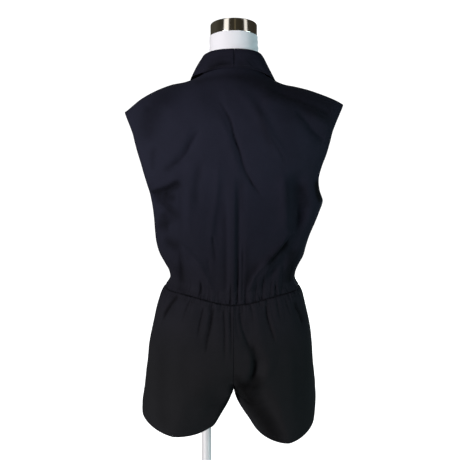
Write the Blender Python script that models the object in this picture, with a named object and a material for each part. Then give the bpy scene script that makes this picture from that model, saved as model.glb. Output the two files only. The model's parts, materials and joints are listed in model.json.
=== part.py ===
"""Sleeveless romper on a limbless dress form with a counter-top stand.

+X is the wearer's right, +Y the wearer's front and +Z up.  The origin is the middle of the
underside of the stand's base plate.  All tables and sizes are in millimetres.

Every cloth panel is a surface (across, level) -> point.  The back and front bodice meet in the
plane Y = 0 at the side and shoulder seams, the two legs meet in the plane X = 0 at the centre
seams, and each leg's back and front meet in the plane Y = 0 at the side seam and the inseam.
"""
import math
from collections import namedtuple

import bmesh
import bpy
import numpy as np

MM = 0.001

# ---- driving sizes -------------------------------------------------------------------------
CLOTH = 1.4                # thickness of a woven panel's wall
COLLAR_CLOTH = 1.6         # thickness of the doubled collar
SEAM_GAP = 0.3             # distance between two pieces at a seam
WRAP_STEP = 3.4            # how far the over front lies outside the under front
ROUNDNESS = 2.3            # superellipse power of the body's sections
LEG_OUTER_ROUNDNESS = 1.48  # and of a leg's outer half
LEG_LEFT_ROUNDNESS = 2.2   # and of its inner half
LEG_RIGHT_ROUNDNESS = 1.9

WAIST_Z = 528.5            # waist seam at the sides
WAIST_BACK_DROP = 20.5     # the seam is this much lower at the centre back
WAIST_FRONT_DROP = 8.0     # and this much lower at the centre front
WAIST_DROP_WIDTH = 75.0
WAIST_DIP_FADE = 0.4       # the dip dies out over this share of the way to the crotch
WAIST_LEFT = 150.0
WAIST_RIGHT = 144.5
WAIST_BACK = 95.0
WAIST_FRONT = 88.0

UNDERARM_LEFT_Z = 728.0
UNDERARM_RIGHT_Z = 713.0
BLADE_Z = 830.0            # height from which the cloth rounds over to the shoulders
NECK_HALF = 64.0           # side neck point
NECK_SIDE_Z = 970.0
NECK_BACK = 58.0           # centre back of the neck seam
NECK_BACK_RISE = 8.0
NECK_SHARE = 0.29          # share of the half back that runs up to the neck
SHOULDER_TIP_LEFT = 226.5
SHOULDER_TIP_RIGHT = 228.0
WRAP_CROSS_Z = 720.0       # where the two front edges cross

CROTCH_Z = 292.0
HEM_LEFT_Z = 233.5
HEM_RIGHT_Z = 219.5
HEM_INNER_LEFT = 31.5      # the inseam's distance from the centre at the hem
HEM_INNER_RIGHT = 38.5

CAP_RADIUS = 47.6
CAP_HEIGHT = 25.0
FORM_TOP_Z = 1044.7
FORM_BASE_Z = 338.0
POLE_X = -62.0             # the pole leaves through the wearer's left leg
POLE_RADIUS = 11.0
PLATE_RADIUS = 135.0
PLATE_HEIGHT = 10.0
PLATE_BEVEL = 1.5
CAP_BEVEL = 1.2
CAP_CROWN_INSET = 12.0     # the cap's top rises to a flat crown this far from its side
CAP_CROWN_RISE = 0.8
FLANGE_RADIUS = 24.0       # the pole's flange under the form and on the base plate
FLANGE_HEIGHT = 8.0
FLANGE_EDGE = 2.0
FLANGE_NECK = 3.0
FLANGE_FILLET = 6.0

# how the bodice rounds over from the blades to the neck and the shoulders
ARMHOLE_FLATTENING = 0.32
ARMHOLE_FLATTENING_RISE = 0.7
BACK_SPREAD = 1.2
BACK_SPREAD_GAIN = 0.2
FRONT_SPREAD = 1.4
FRONT_SPREAD_LOSS = 0.4
TURN_POWER = 2.0
TURN_POWER_LOSS = 0.3
TURN_FLATNESS = 0.5
BACK_FLATNESS_GAIN = 0.45
FRONT_FLATNESS_GAIN = 0.1
LAP_BLEND = 25.0           # the over front steps outwards across this width at its edge
LEG_BLEND_START = 0.35     # share of the way to the crotch where sections start to turn leg-like

# ---- tables --------------------------------------------------------------------------------
BodiceSide = namedtuple("BodiceSide", "z left right")
BODICE_SIDES = (
    BodiceSide(WAIST_Z, WAIST_LEFT, WAIST_RIGHT),
    BodiceSide(539, 142.5, 137.5),
    BodiceSide(551, 137.5, 133.5),
    BodiceSide(572, 144.5, 138.5),
    BodiceSide(599, 158.5, 151.5),
    BodiceSide(626, 166, 158),
    BodiceSide(652, 168.5, 168),
    BodiceSide(678, 170, 179),
    BodiceSide(704, 173, 187),
    BodiceSide(728, 177.5, 194),
)

BodiceDepth = namedtuple("BodiceDepth", "z back front")
BODICE_DEPTHS = (
    BodiceDepth(WAIST_Z, WAIST_BACK, WAIST_FRONT),
    BodiceDepth(545, 93, 89),
    BodiceDepth(575, 104, 96),
    BodiceDepth(605, 112, 104),
    BodiceDepth(640, 110, 112),
    BodiceDepth(690, 107, 122),
    BodiceDepth(740, 108, 126),
    BodiceDepth(790, 112, 120),
    BodiceDepth(830, 112, 108),
)

# rise is the share of the way from the underarm up to BLADE_Z
Armhole = namedtuple("Armhole", "rise left right front_right back_y front_y")
ARMHOLE = (
    Armhole(0.00, 177.5, 194, 194, 0, 0),
    Armhole(0.08, 178, 188, 190, 12, 12),
    Armhole(0.19, 179.5, 178.5, 184, 27, 27),
    Armhole(0.37, 183, 174, 178, 40, 38),
    Armhole(0.57, 187, 177.5, 176, 47, 42),
    Armhole(0.78, 193, 186, 182, 48, 42),
    Armhole(1.00, 199, 193.5, 190, 46, 40),
)

# way is the share of the shoulder seam from the neck to the tip
Shoulder = namedtuple("Shoulder", "way left right")
SHOULDER = (
    Shoulder(0.00, 970.0, 970.0),
    Shoulder(0.07, 963.0, 961.0),
    Shoulder(0.14, 959.0, 956.0),
    Shoulder(0.35, 952.5, 948.0),
    Shoulder(0.56, 941.0, 940.0),
    Shoulder(0.72, 928.5, 931.5),
    Shoulder(0.83, 917.5, 925.0),
    Shoulder(0.925, 905.0, 918.5),
    Shoulder(1.00, 896.5, 912.0),
)

# turn is the angle that a leg's section sweeps from the side seam: 90 at the hips, 180 at the leg
ShortsLevel = namedtuple("ShortsLevel", "z left right back front turn")
SHORTS_LEVELS = (
    ShortsLevel(WAIST_Z, WAIST_LEFT, WAIST_RIGHT, WAIST_BACK, WAIST_FRONT, 90),
    ShortsLevel(515, 158, 151.5, 98.5, 91.5, 90),
    ShortsLevel(500, 163, 155.5, 101.5, 93.5, 90),
    ShortsLevel(482, 168.5, 159.5, 107.5, 97.5, 90),
    ShortsLevel(460, 173.5, 164.5, 113.5, 102.5, 90),
    ShortsLevel(438, 178.5, 169, 118.5, 105.5, 90),
    ShortsLevel(416, 183.5, 172, 121.5, 107.5, 91),
    ShortsLevel(395, 187.5, 174.5, 123.5, 108.5, 94),
    ShortsLevel(374, 190, 176.5, 123.5, 108.5, 101),
    ShortsLevel(355, 192.5, 178.5, 122.5, 107.5, 113),
    ShortsLevel(338, 195.5, 181, 120.5, 106.5, 128),
    ShortsLevel(322, 197.5, 183, 118.5, 105.5, 142),
    ShortsLevel(307, 199.5, 185, 116.5, 104.5, 157),
    ShortsLevel(CROTCH_Z, 201.5, 186, 114.5, 103.5, 180),
)

# drop is the share of the way from the crotch down to the hem
LegLevel = namedtuple("LegLevel", "drop left right back front inner_left inner_right")
LEG_LEVELS = (
    LegLevel(0.00, 201.5, 186, 114.5, 103.5, 0.0, 0.0),
    LegLevel(0.25, 204, 187.5, 112.5, 101.5, 5.5, 4.5),
    LegLevel(0.50, 206.5, 187.5, 110.5, 100.5, 13.5, 14.5),
    LegLevel(0.75, 207.5, 186.5, 109.0, 98.5, 22.5, 27.0),
    LegLevel(1.00, 207.5, 184.5, 107, 97.5, HEM_INNER_LEFT, HEM_INNER_RIGHT),
)

# across and level place the collar's outer edge on the bodice back; turn is the neck seam's angle
BackCollar = namedtuple(
    "BackCollar", "turn stand lean_left lean_right lift_left lift_right across level")
BACK_COLLAR = (
    BackCollar(0, 28.0, 3.0, 3.0, 0.8, 0.8, 0.00, 2.790),
    BackCollar(25, 28.5, 2.5, 2.0, 0.8, 0.8, 0.10, 2.790),
    BackCollar(48, 29.5, -0.2, -1.8, 1.5, 0.8, 0.22, 2.780),
    BackCollar(70, 31.0, -3.5, -7.2, 5.0, 2.0, 0.340, 2.830),
    BackCollar(90, 32.0, -6.0, -9.9, 6.0, 2.0, 0.378, 3.000),
)

# width is the distance of the collar's outer edge from the front edge, along the panel's row
FrontCollar = namedtuple("FrontCollar", "level stand upright lift_left lift_right width edge_level")
FRONT_COLLAR = (
    FrontCollar(2.70, 27.0, 0.80, 4.0, 1.0, 30, 2.80),
    FrontCollar(2.45, 20.0, 0.55, 1.5, 0.8, 44, 2.58),
    FrontCollar(2.20, 14.0, 0.30, 0.8, 0.8, 54, 2.36),
    FrontCollar(2.00, 10.0, 0.15, 0.8, 0.8, 58, 2.12),
    FrontCollar(1.70, 7.0, 0.05, 0.8, 0.8, 56, 1.85),
    FrontCollar(1.48, 5.5, 0.00, 0.8, 0.8, 46, 1.60),
)
COLLAR_END_LEFT = FrontCollar(1.30, 4.4, 0.00, 0.8, 0.8, 20, 1.38)
COLLAR_END_RIGHT = FrontCollar(1.12, 4.4, 0.00, 0.8, 0.8, 16, 1.18)
COLLAR_INSET = 1.6         # the collar's foot stands this far inside the neck seam
COLLAR_REST = 1.6          # least distance of the collar's outer edge from the bodice
COLLAR_ROLL = 3.3          # inner radius of the collar's fold
COLLAR_FOLD_ANGLES = (45, 90, 135, 180)
COLLAR_BOW_LEFT = 1.8      # how far the fall bows out between fold and edge
COLLAR_BOW_RIGHT = 0.6

FormRing = namedtuple("FormRing", "z half_width back front power")
FORM_RINGS = (
    FormRing(FORM_BASE_Z, 84, 54, 46, 2.2),
    FormRing(341, 108, 68, 58, 2.2),
    FormRing(349, 130, 82, 72, 2.2),
    FormRing(366, 150, 97, 86, 2.2),
    FormRing(390, 161, 107, 94, 2.2),
    FormRing(420, 164, 110, 97, 2.2),
    FormRing(455, 157, 104, 95, 2.2),
    FormRing(490, 142, 94, 88, 2.2),
    FormRing(520, 129, 86, 82, 2.2),
    FormRing(552, 122, 82, 81, 2.2),
    FormRing(590, 128, 87, 87, 2.2),
    FormRing(640, 140, 94, 100, 2.2),
    FormRing(690, 149, 99, 111, 2.2),
    FormRing(735, 154, 101, 117, 2.2),
    FormRing(780, 156, 103, 111, 2.2),
    FormRing(820, 158, 103, 100, 2.2),
    FormRing(860, 163, 99, 87, 2.1),
    FormRing(890, 167, 93, 76, 2.0),
    FormRing(911, 168, 86, 69, 1.8),
    FormRing(927, 163, 79, 64, 1.6),
    FormRing(938, 151, 73, 60, 1.4),
    FormRing(945.5, 120, 69, 56, 1.35),
    FormRing(949.5, 100, 67, 53, 1.4),
    FormRing(952.5, 84, 64, 50, 1.6),
    FormRing(958, 66, 60, 47, 1.9),
    FormRing(967, 57.5, 55.5, 46.5, 2.0),
    FormRing(980, 53.5, 53, 48, 2.0),
    FormRing(1000, 51.5, 51.5, 50, 2.0),
    FormRing(1024, 50, 50, 50, 2.0),
    FormRing(FORM_TOP_Z, 49.5, 49.5, 49.5, 2.0),
)
# a fold runs from (x, z) to (to_x, to_z); rise is its height, or its depth where it is negative
Fold = namedtuple("Fold", "x z to_x to_z width rise")
BACK_FOLDS = (
    Fold(-34, 912, -2, 849, 11, -2.5),      # long crease from below the neck
    Fold(3, 840, 24, 779, 11, -3.0),
    Fold(27, 770, 54, 726, 11, -2.5),
    Fold(-5, 735, -5, 545, 9, 2.5),         # ridge and trough down the centre
    Fold(11, 738, 9, 545, 8, -3.2),
    Fold(-25, 738, -36, 642, 14, -2.5),
    Fold(-80, 738, -73, 645, 20, 3.0),
    Fold(134, 752, 136, 690, 15, -5.0),     # hollow below the right blade
    Fold(133, 684, 124, 640, 14, -4.5),
    Fold(99, 755, 104, 662, 12, 2.2),
    Fold(107, 639, 64, 588, 11, 5.0),       # ridge to the waist with a hollow below it
    Fold(62, 578, 42, 542, 9, 3.5),
    Fold(116, 616, 76, 572, 10, -6.0),
    Fold(72, 565, 56, 538, 8, -3.5),
    Fold(-97, 634, -66, 592, 11, 4.0),      # the same on the left, softer
    Fold(-62, 584, -49, 542, 10, 3.0),
    Fold(-102, 606, -110, 545, 8, -3.5),
    Fold(-160, 733, -99, 760, 9, -3.0),     # drag lines at the left underarm
    Fold(-146, 714, -126, 697, 8, -2.5),
    Fold(-142, 664, -140, 650, 12, -4.0),
    Fold(-69, 852, -93, 805, 15, -3.0),     # soft troughs below the shoulders
    Fold(-97, 800, -119, 781, 14, -2.5),
    Fold(128, 882, 172, 838, 14, -3.5),
)
FRONT_FOLDS = (
    Fold(84, 545, 98, 640, 12, -3.5),
    Fold(-86, 545, -96, 655, 12, -3.5),
    Fold(112, 548, 128, 625, 11, 3.0),
    Fold(-112, 548, -122, 610, 11, 3.0),
    Fold(160, 716, 118, 738, 10, -3.5),
    Fold(-155, 730, -112, 752, 10, -3.0),
    Fold(138, 880, 168, 838, 14, -3.0),
    Fold(-136, 872, -165, 832, 14, -3.0),
)
SHORTS_BACK_FOLDS = (
    Fold(-41, 500, -55, 433, 9, -5.0),      # pleats below the waist
    Fold(-61, 502, -73, 441, 8, -2.5),
    Fold(-119, 515, -147, 463, 9, -3.5),
    Fold(-19, 498, -15, 425, 8, -2.0),
    Fold(65, 500, 82, 430, 9, -3.5),
    Fold(132, 508, 145, 455, 9, -4.0),
    Fold(14, 496, 44, 404, 10, -4.0),       # deep fold that swings round the right seat
    Fold(46, 400, 47, 374, 12, -5.5),
    Fold(45, 368, 28, 352, 11, -4.0),
    Fold(57, 330, 81, 250, 14, -4.0),
    Fold(66, 440, 68, 375, 16, 3.0),
    Fold(18, 410, 16, 375, 12, 2.5),
)
SHORTS_FRONT_FOLDS = (
    Fold(62, 508, 70, 440, 9, -3.5),
    Fold(-54, 508, -62, 445, 9, -3.5),
    Fold(104, 514, 118, 452, 9, -3.0),
    Fold(-104, 514, -120, 460, 9, -3.0),
    Fold(26, 504, 22, 450, 8, -2.5),
    Fold(-20, 504, -18, 455, 8, -2.5),
    Fold(40, 350, 92, 300, 14, -3.0),
    Fold(-38, 345, -88, 300, 14, -3.0),
)

# ---- numbers of cells and steps ------------------------------------------------------------
FORM_STEPS = 40
CAP_STEPS = 48
PLATE_STEPS = 64
POLE_STEPS = 32
SHARP_ANGLE = 35           # edges sharper than this, in degrees, stay sharp
TANGENT_STEP = 1e-3
BISECTIONS = 30
FOLD_FADE_CELLS = 2        # folds die out over this many cells at a panel's edges
NECK_CELLS = 6
SHOULDER_CELLS = 9
FRONT_CELLS = 12
LEG_CELLS = 13
NARROW_CELL = 0.036        # share of the sweep that the cell beside the centre seam takes
BODICE_LEVELS = np.concatenate((
    (0, 0.09, 0.18, 0.27, 0.37, 0.48, 0.6, 0.73, 0.86),
    np.linspace(1, 2, 6)[:-1], np.linspace(2, 3, 7)))


# ---- helpers -------------------------------------------------------------------------------
def column(rows, name, at):
    """Value of one table column at a place in the table's first column, on a smooth curve."""
    places = np.array([row[0] for row in rows], float)
    values = np.array([getattr(row, name) for row in rows], float)
    slopes = np.gradient(values, places)
    order = 1 if places[-1] > places[0] else -1
    places, values, slopes = places[::order], values[::order], slopes[::order]
    at = min(max(at, places[0]), places[-1])
    cell = min(int(np.searchsorted(places, at, side="right")) - 1, len(places) - 2)
    length = places[cell + 1] - places[cell]
    t = (at - places[cell]) / length
    return (values[cell] * (1 + 2 * t) * (1 - t) ** 2
            + slopes[cell] * length * t * (1 - t) ** 2
            + values[cell + 1] * t * t * (3 - 2 * t)
            - slopes[cell + 1] * length * t * t * (1 - t))


def smooth(t):
    """A ramp from 0 to 1 with level ends."""
    t = min(max(t, 0.0), 1.0)
    return t * t * (3 - 2 * t)


def signed_power(value, power):
    """The power of a value's size, with the value's sign."""
    return math.copysign(abs(value) ** power, value)


def unit(vector):
    """The vector at length 1."""
    return vector / np.linalg.norm(vector)


def surface_frame(surface, across, level):
    """Point of a surface with its unit tangents across and up, by small differences."""
    point = surface(across, level)
    across_side = -TANGENT_STEP if across + TANGENT_STEP > 1 else TANGENT_STEP
    level_side = -TANGENT_STEP if level + TANGENT_STEP > 3 else TANGENT_STEP
    along = (surface(across + across_side, level) - point) / across_side
    upward = (surface(across, level + level_side) - point) / level_side
    return point, unit(along), unit(upward)


# ---- bodice surfaces -----------------------------------------------------------------------
def waist_height(x, face):
    """Height of the waist seam, which dips towards the centre."""
    drop = WAIST_BACK_DROP if face < 0 else WAIST_FRONT_DROP
    return WAIST_Z - drop * math.exp(-(x / WAIST_DROP_WIDTH) ** 2)


def shoulder_top(side, way):
    """Point of the shoulder seam between the neck (0) and the tip (1)."""
    tip = SHOULDER_TIP_RIGHT if side > 0 else SHOULDER_TIP_LEFT
    height = column(SHOULDER, "right" if side > 0 else "left", way)
    return np.array([side * (NECK_HALF + way * (tip - NECK_HALF)), 0.0, height])


def bodice_below_blades(face, u, level):
    """Point of the bodice at u of the half width, from the waist seam (0) to the blades (2)."""
    right_name = "front_right" if face > 0 else "right"
    y_name = "front_y" if face > 0 else "back_y"
    t = (u + 1) / 2
    underarm = UNDERARM_LEFT_Z * (1 - t) + UNDERARM_RIGHT_Z * t
    share = (1 - abs(u) ** ROUNDNESS) ** (1 / ROUNDNESS)
    waist = waist_height(u * (WAIST_RIGHT if u > 0 else WAIST_LEFT), face)
    if level <= 1:
        z = waist + level * (underarm - waist)
        left = column(BODICE_SIDES, "left", WAIST_Z + level * (UNDERARM_LEFT_Z - WAIST_Z))
        right = column(BODICE_SIDES, "right", WAIST_Z + level * (UNDERARM_RIGHT_Z - WAIST_Z))
        edge_y = 0.0
    else:
        rise = level - 1
        z = underarm + rise * (BLADE_Z - underarm)
        left = column(ARMHOLE, "left", rise)
        right = column(ARMHOLE, right_name, rise)
        edge_y = column(ARMHOLE, y_name, rise)
        flattening = ARMHOLE_FLATTENING * smooth(rise / ARMHOLE_FLATTENING_RISE)
        share = (1 - abs(u) ** ROUNDNESS) ** (1 / ROUNDNESS + flattening)
    middle = WAIST_Z + min(level, 1) * ((UNDERARM_LEFT_Z + UNDERARM_RIGHT_Z) / 2 - WAIST_Z)
    middle += max(level - 1, 0) * (BLADE_Z - middle)
    depth = column(BODICE_DEPTHS, "front" if face > 0 else "back", middle)
    x = u * (right if u > 0 else left)
    return np.array([x, face * (edge_y + (depth - edge_y) * share), z])


def round_over(foot, top, level, spread, power, flatness):
    """Point of a column that rounds over from the blades (level 2) to its top (level 3)."""
    rise = math.sin(math.radians(90 * (level - 2)))
    inward = (1 - rise ** power) ** flatness if rise < 1 else 0.0
    x = foot[0] + (top[0] - foot[0]) * rise ** spread
    y = top[1] + (foot[1] - top[1]) * inward
    return np.array([x, y, foot[2] + (top[2] - foot[2]) * rise])


def back_surface(u, level):
    """Point of the back at u of its half width: level 0 waist, 1 underarm, 2 blades, 3 top."""
    if level <= 2:
        return bodice_below_blades(-1, u, level)
    side = 1 if u > 0 else -1
    if abs(u) < NECK_SHARE:
        turn = math.radians(90 * abs(u) / NECK_SHARE)
        top = np.array([side * NECK_HALF * math.sin(turn), -NECK_BACK * math.cos(turn),
                        NECK_SIDE_Z + NECK_BACK_RISE * math.cos(turn)])
        middle = math.cos(turn)
    else:
        top = shoulder_top(side, (abs(u) - NECK_SHARE) / (1 - NECK_SHARE))
        middle = 0.0
    foot = bodice_below_blades(-1, u, 2)
    return round_over(foot, top, level, BACK_SPREAD + BACK_SPREAD_GAIN * abs(u),
                      TURN_POWER - TURN_POWER_LOSS * middle,
                      TURN_FLATNESS + BACK_FLATNESS_GAIN * middle)


def front_edge_x(z):
    """Distance of the wearer's right front edge from the centre: a straight line."""
    return NECK_HALF * (z - WRAP_CROSS_Z) / (NECK_SIDE_Z - WRAP_CROSS_Z)


def front_position(side, q, level):
    """Place of the front's column q in shares of its half width; q is 0 at the side."""
    z = bodice_below_blades(1, 0.0, min(level, 2))[2]
    half = abs(bodice_below_blades(1, side * 1.0, min(level, 2))[0])
    other_half = abs(bodice_below_blades(1, -side * 1.0, min(level, 2))[0])
    edge = front_edge_x(z)
    edge_share = edge / half if edge > 0 else edge / other_half
    start = math.pi / 2
    end = math.asin(signed_power(edge_share, ROUNDNESS / 2))
    return signed_power(math.sin(start + (end - start) * q), 2 / ROUNDNESS)


def front_surface(side, over, q, level):
    """Point of a front panel; over is 1 on the lap that lies outside."""
    u = side * front_position(side, q, level)
    if level <= 2:
        point = bodice_below_blades(1, u, level)
    else:
        edge_u = abs(front_position(side, 1.0, 2))
        way = (abs(u) - edge_u) / (1 - edge_u)
        foot = bodice_below_blades(1, u, 2)
        point = round_over(foot, shoulder_top(side, max(way, 0.0)), level,
                           FRONT_SPREAD - FRONT_SPREAD_LOSS * q,
                           TURN_POWER - TURN_POWER_LOSS * q,
                           TURN_FLATNESS + FRONT_FLATNESS_GAIN * q)
    lapped = smooth(1 - (front_edge_x(point[2]) + side * point[0]) / LAP_BLEND)
    point[1] += over * WRAP_STEP * lapped
    return point


# ---- shorts surface ------------------------------------------------------------------------
def shorts_surface(side, face, sweep, level):
    """Point of a quarter of the shorts: sweep 0 at the side seam, 1 at the centre or inseam,
    level 0 at the waist, 1 at the crotch and 2 at the hem."""
    wide = "right" if side > 0 else "left"
    deep = "front" if face > 0 else "back"
    if level <= 1:
        z = WAIST_Z + level * (CROTCH_Z - WAIST_Z)
        width = column(SHORTS_LEVELS, wide, z)
        depth = column(SHORTS_LEVELS, deep, z)
        turn = math.radians(column(SHORTS_LEVELS, "turn", z))
        inner = 0.0
    else:
        hem = HEM_RIGHT_Z if side > 0 else HEM_LEFT_Z
        z = CROTCH_Z + (level - 1) * (hem - CROTCH_Z)
        width = column(LEG_LEVELS, wide, level - 1)
        depth = column(LEG_LEVELS, deep, level - 1)
        inner = column(LEG_LEVELS, "inner_" + wide, level - 1)
        turn = math.pi
    inner_roundness = LEG_RIGHT_ROUNDNESS if side > 0 else LEG_LEFT_ROUNDNESS
    toward_leg = smooth((level - LEG_BLEND_START) / (1 - LEG_BLEND_START))
    inner_power = 2 / (ROUNDNESS + (inner_roundness - ROUNDNESS) * toward_leg)
    radius = (width - inner) / (1 - signed_power(math.cos(turn), inner_power))
    centre = width - radius
    angle = turn * sweep
    outer_power = 2 / (ROUNDNESS + (LEG_OUTER_ROUNDNESS - ROUNDNESS) * toward_leg)
    power = outer_power if angle < math.pi / 2 else inner_power
    share = abs(math.sin(angle)) ** power if 0 < sweep else 0.0
    if turn == math.pi and sweep == 1:
        share = 0.0
    x = centre + radius * signed_power(math.cos(angle), power)
    near_waist = max(0.0, 1 - level / WAIST_DIP_FADE)
    z += near_waist * (waist_height(x, face) - WAIST_Z)
    return np.array([side * x, face * depth * share, z])


# ---- meshes --------------------------------------------------------------------------------
def grid_normals(points, flip):
    """Outward unit normals of a grid of points; flip turns them over."""
    along = np.gradient(points, axis=1)
    upward = np.gradient(points, axis=0)
    normals = np.cross(along, upward)
    normals /= np.linalg.norm(normals, axis=2, keepdims=True)
    return -normals if flip else normals


def keep_seams_parallel(normals, seams):
    """Turn the wall's direction at each seam into the seam's own plane."""
    edges = {"bottom": np.s_[0, :], "top": np.s_[-1, :], "first": np.s_[:, 0], "last": np.s_[:, -1]}
    for edge, rows, axis in seams:
        part = normals[edges[edge]]
        part[rows, axis] = 0.0
        part[rows] /= np.linalg.norm(part[rows], axis=1, keepdims=True)


def fold_relief(x, z, folds):
    """Height of all folds at a place of a panel."""
    height = 0.0
    for fold in folds:
        start = np.array([fold.x, fold.z], float)
        run = np.array([fold.to_x, fold.to_z], float) - start
        place = np.array([x, z]) - start
        t = min(max(place @ run / (run @ run), 0.0), 1.0)
        distance = np.linalg.norm(place - t * run)
        height += fold.rise * math.exp(-(distance / fold.width) ** 2)
    return height


def add_folds(points, normals, folds):
    """Points with the folds raised along the normals, fading out at the panel's edges."""
    rows, columns = points.shape[:2]
    result = points.copy()
    for r in range(rows):
        for c in range(columns):
            cells = min(r, rows - 1 - r, c, columns - 1 - c)
            fade = min(1.0, cells / FOLD_FADE_CELLS)
            height = fold_relief(points[r, c, 0], points[r, c, 2], folds)
            result[r, c] += normals[r, c] * height * fade
    return result


def wall_object(name, outer, normals, thickness, flip, rising, material):
    """Closed wall between a grid of outer points and the same grid moved inwards.

    Every cell is split along the same diagonal, which rising picks.
    """
    rows, columns = outer.shape[:2]
    inner = outer - thickness * normals
    vertices = np.concatenate((outer.reshape(-1, 3), inner.reshape(-1, 3))) * MM
    lower = rows * columns
    faces = []
    for r in range(rows - 1):
        for c in range(columns - 1):
            a = r * columns + c
            b = a + columns
            if rising:
                halves = ((a, a + 1, b + 1), (a, b + 1, b))
            else:
                halves = ((a, a + 1, b), (a + 1, b + 1, b))
            for face in halves:
                faces.append(face)
                faces.append(tuple(i + lower for i in reversed(face)))
    rim = ([(0, c) for c in range(columns)] + [(r, columns - 1) for r in range(1, rows)]
           + [(rows - 1, c) for c in range(columns - 2, -1, -1)]
           + [(r, 0) for r in range(rows - 2, 0, -1)])
    for (r0, c0), (r1, c1) in zip(rim, rim[1:] + rim[:1]):
        a = r0 * columns + c0
        b = r1 * columns + c1
        faces.append((b, a, a + lower, b + lower))
    if flip:
        faces = [tuple(reversed(face)) for face in faces]
    return mesh_object(name, vertices, faces, material)


def mesh_object(name, vertices, faces, material):
    """New object with one mesh and one material."""
    mesh = bpy.data.meshes.new(name)
    mesh.from_pydata([tuple(vertex) for vertex in vertices], [], faces)
    mesh.materials.append(material)
    obj = bpy.data.objects.new(name, mesh)
    bpy.context.collection.objects.link(obj)
    return obj


def make_material(name, colour, roughness, metallic):
    """Plain material of one colour."""
    material = bpy.data.materials.new(name)
    material.use_nodes = True
    shader = material.node_tree.nodes["Principled BSDF"]
    shader.inputs["Base Color"].default_value = (*colour, 1.0)
    shader.inputs["Roughness"].default_value = roughness
    shader.inputs["Metallic"].default_value = metallic
    return material


# ---- cloth panels --------------------------------------------------------------------------
def back_columns():
    """Positions across the back: even over the neck, closer together towards the sides."""
    neck = np.linspace(0, NECK_SHARE, NECK_CELLS + 1)[:-1]
    start = math.asin(NECK_SHARE ** (ROUNDNESS / 2))
    angles = np.linspace(start, math.pi / 2, SHOULDER_CELLS + 1)
    half = np.concatenate((neck, np.sin(angles) ** (2 / ROUNDNESS)))
    half[-1] = 1.0
    return np.concatenate((-half[:0:-1], half))


def build_bodice_back(material):
    """The back, in one piece from side seam to side seam."""
    half_gap = SEAM_GAP / 2
    columns = back_columns()
    points = np.array([[back_surface(u, level) for u in columns] for level in BODICE_LEVELS])
    normals = grid_normals(points, False)
    points = add_folds(points, normals, BACK_FOLDS)
    side_rows = BODICE_LEVELS <= 1 + 1e-9
    shoulder_columns = np.abs(columns) >= NECK_SHARE - 1e-9
    keep_seams_parallel(normals, (
        ("first", side_rows, 1), ("last", side_rows, 1),
        ("top", shoulder_columns, 1), ("bottom", slice(None), 2)))
    points[side_rows, 0, 1] = -half_gap
    points[side_rows, -1, 1] = -half_gap
    points[-1, shoulder_columns, 1] = -half_gap
    points[0, :, 2] += half_gap
    return wall_object("bodice_back", points, normals, CLOTH, False, True, material)


def build_bodice_front(side, over, material):
    """A front, from its side seam past the centre to its free edge."""
    half_gap = SEAM_GAP / 2
    columns = np.linspace(0, 1, FRONT_CELLS + 1)
    points = np.array([[front_surface(side, over, q, level) for q in columns]
                       for level in BODICE_LEVELS])
    flip = side < 0
    normals = grid_normals(points, flip)
    points = add_folds(points, normals, FRONT_FOLDS)
    side_rows = BODICE_LEVELS <= 1 + 1e-9
    keep_seams_parallel(normals, (
        ("first", side_rows, 1), ("top", slice(None), 1), ("bottom", slice(None), 2)))
    points[side_rows, 0, 1] = half_gap
    points[-1, :, 1] = half_gap
    points[0, :, 2] += half_gap
    name = "bodice_front_right" if side > 0 else "bodice_front_left"
    return wall_object(name, points, normals, CLOTH, flip, True, material)


def shorts_levels():
    """Levels of the shorts' rows, one for each row of the two tables."""
    body = [(WAIST_Z - row.z) / (WAIST_Z - CROTCH_Z) for row in SHORTS_LEVELS]
    leg = [1 + row.drop for row in LEG_LEVELS[1:]]
    return np.array(body + leg)


def build_shorts(side, face, material):
    """The back or the front of one leg, from the waist to the hem."""
    half_gap = SEAM_GAP / 2
    levels = shorts_levels()
    sweeps = np.append(np.linspace(0, 1, LEG_CELLS)[:-1], (1 - NARROW_CELL, 1))
    points = np.array([[shorts_surface(side, face, sweep, level) for sweep in sweeps]
                       for level in levels])
    flip = side * face > 0
    normals = grid_normals(points, flip)
    points = add_folds(points, normals, SHORTS_FRONT_FOLDS if face > 0 else SHORTS_BACK_FOLDS)
    centre_rows = levels <= 1 + 1e-9
    inseam_rows = levels >= 1 - 1e-9
    keep_seams_parallel(normals, (
        ("first", slice(None), 1), ("last", centre_rows, 0), ("last", inseam_rows, 1),
        ("bottom", slice(None), 2)))
    points[:, 0, 1] = face * half_gap
    points[centre_rows, -1, 0] = side * half_gap
    points[inseam_rows, -1, 1] = face * half_gap
    points[0, :, 2] -= half_gap
    name = f"shorts_{'front' if face > 0 else 'back'}_{'right' if side > 0 else 'left'}"
    return wall_object(name, points, normals, CLOTH, flip, False, material)


# ---- collar --------------------------------------------------------------------------------
def collar_section(seam, rise, outward, stand, edge, edge_normal, lift, bow):
    """Points of the collar's inside, from the neck seam up over the fold and down to its edge."""
    foot = seam + SEAM_GAP * rise - COLLAR_INSET * outward
    shoulder = foot + (stand - COLLAR_ROLL) * rise
    centre = shoulder + COLLAR_ROLL * outward
    points = [foot, (foot + shoulder) / 2, shoulder]
    for degrees in COLLAR_FOLD_ANGLES:
        angle = math.radians(degrees)
        points.append(centre + COLLAR_ROLL * (math.sin(angle) * rise - math.cos(angle) * outward))
    start = points[-1]
    end = edge + (COLLAR_REST + lift) * edge_normal
    bow_way = bow * unit(outward + edge_normal)
    for t in (1 / 3, 2 / 3):
        points.append(start * (1 - t) + end * t + bow_way * 4 * t * (1 - t))
    points.append(end)
    return points


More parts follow.
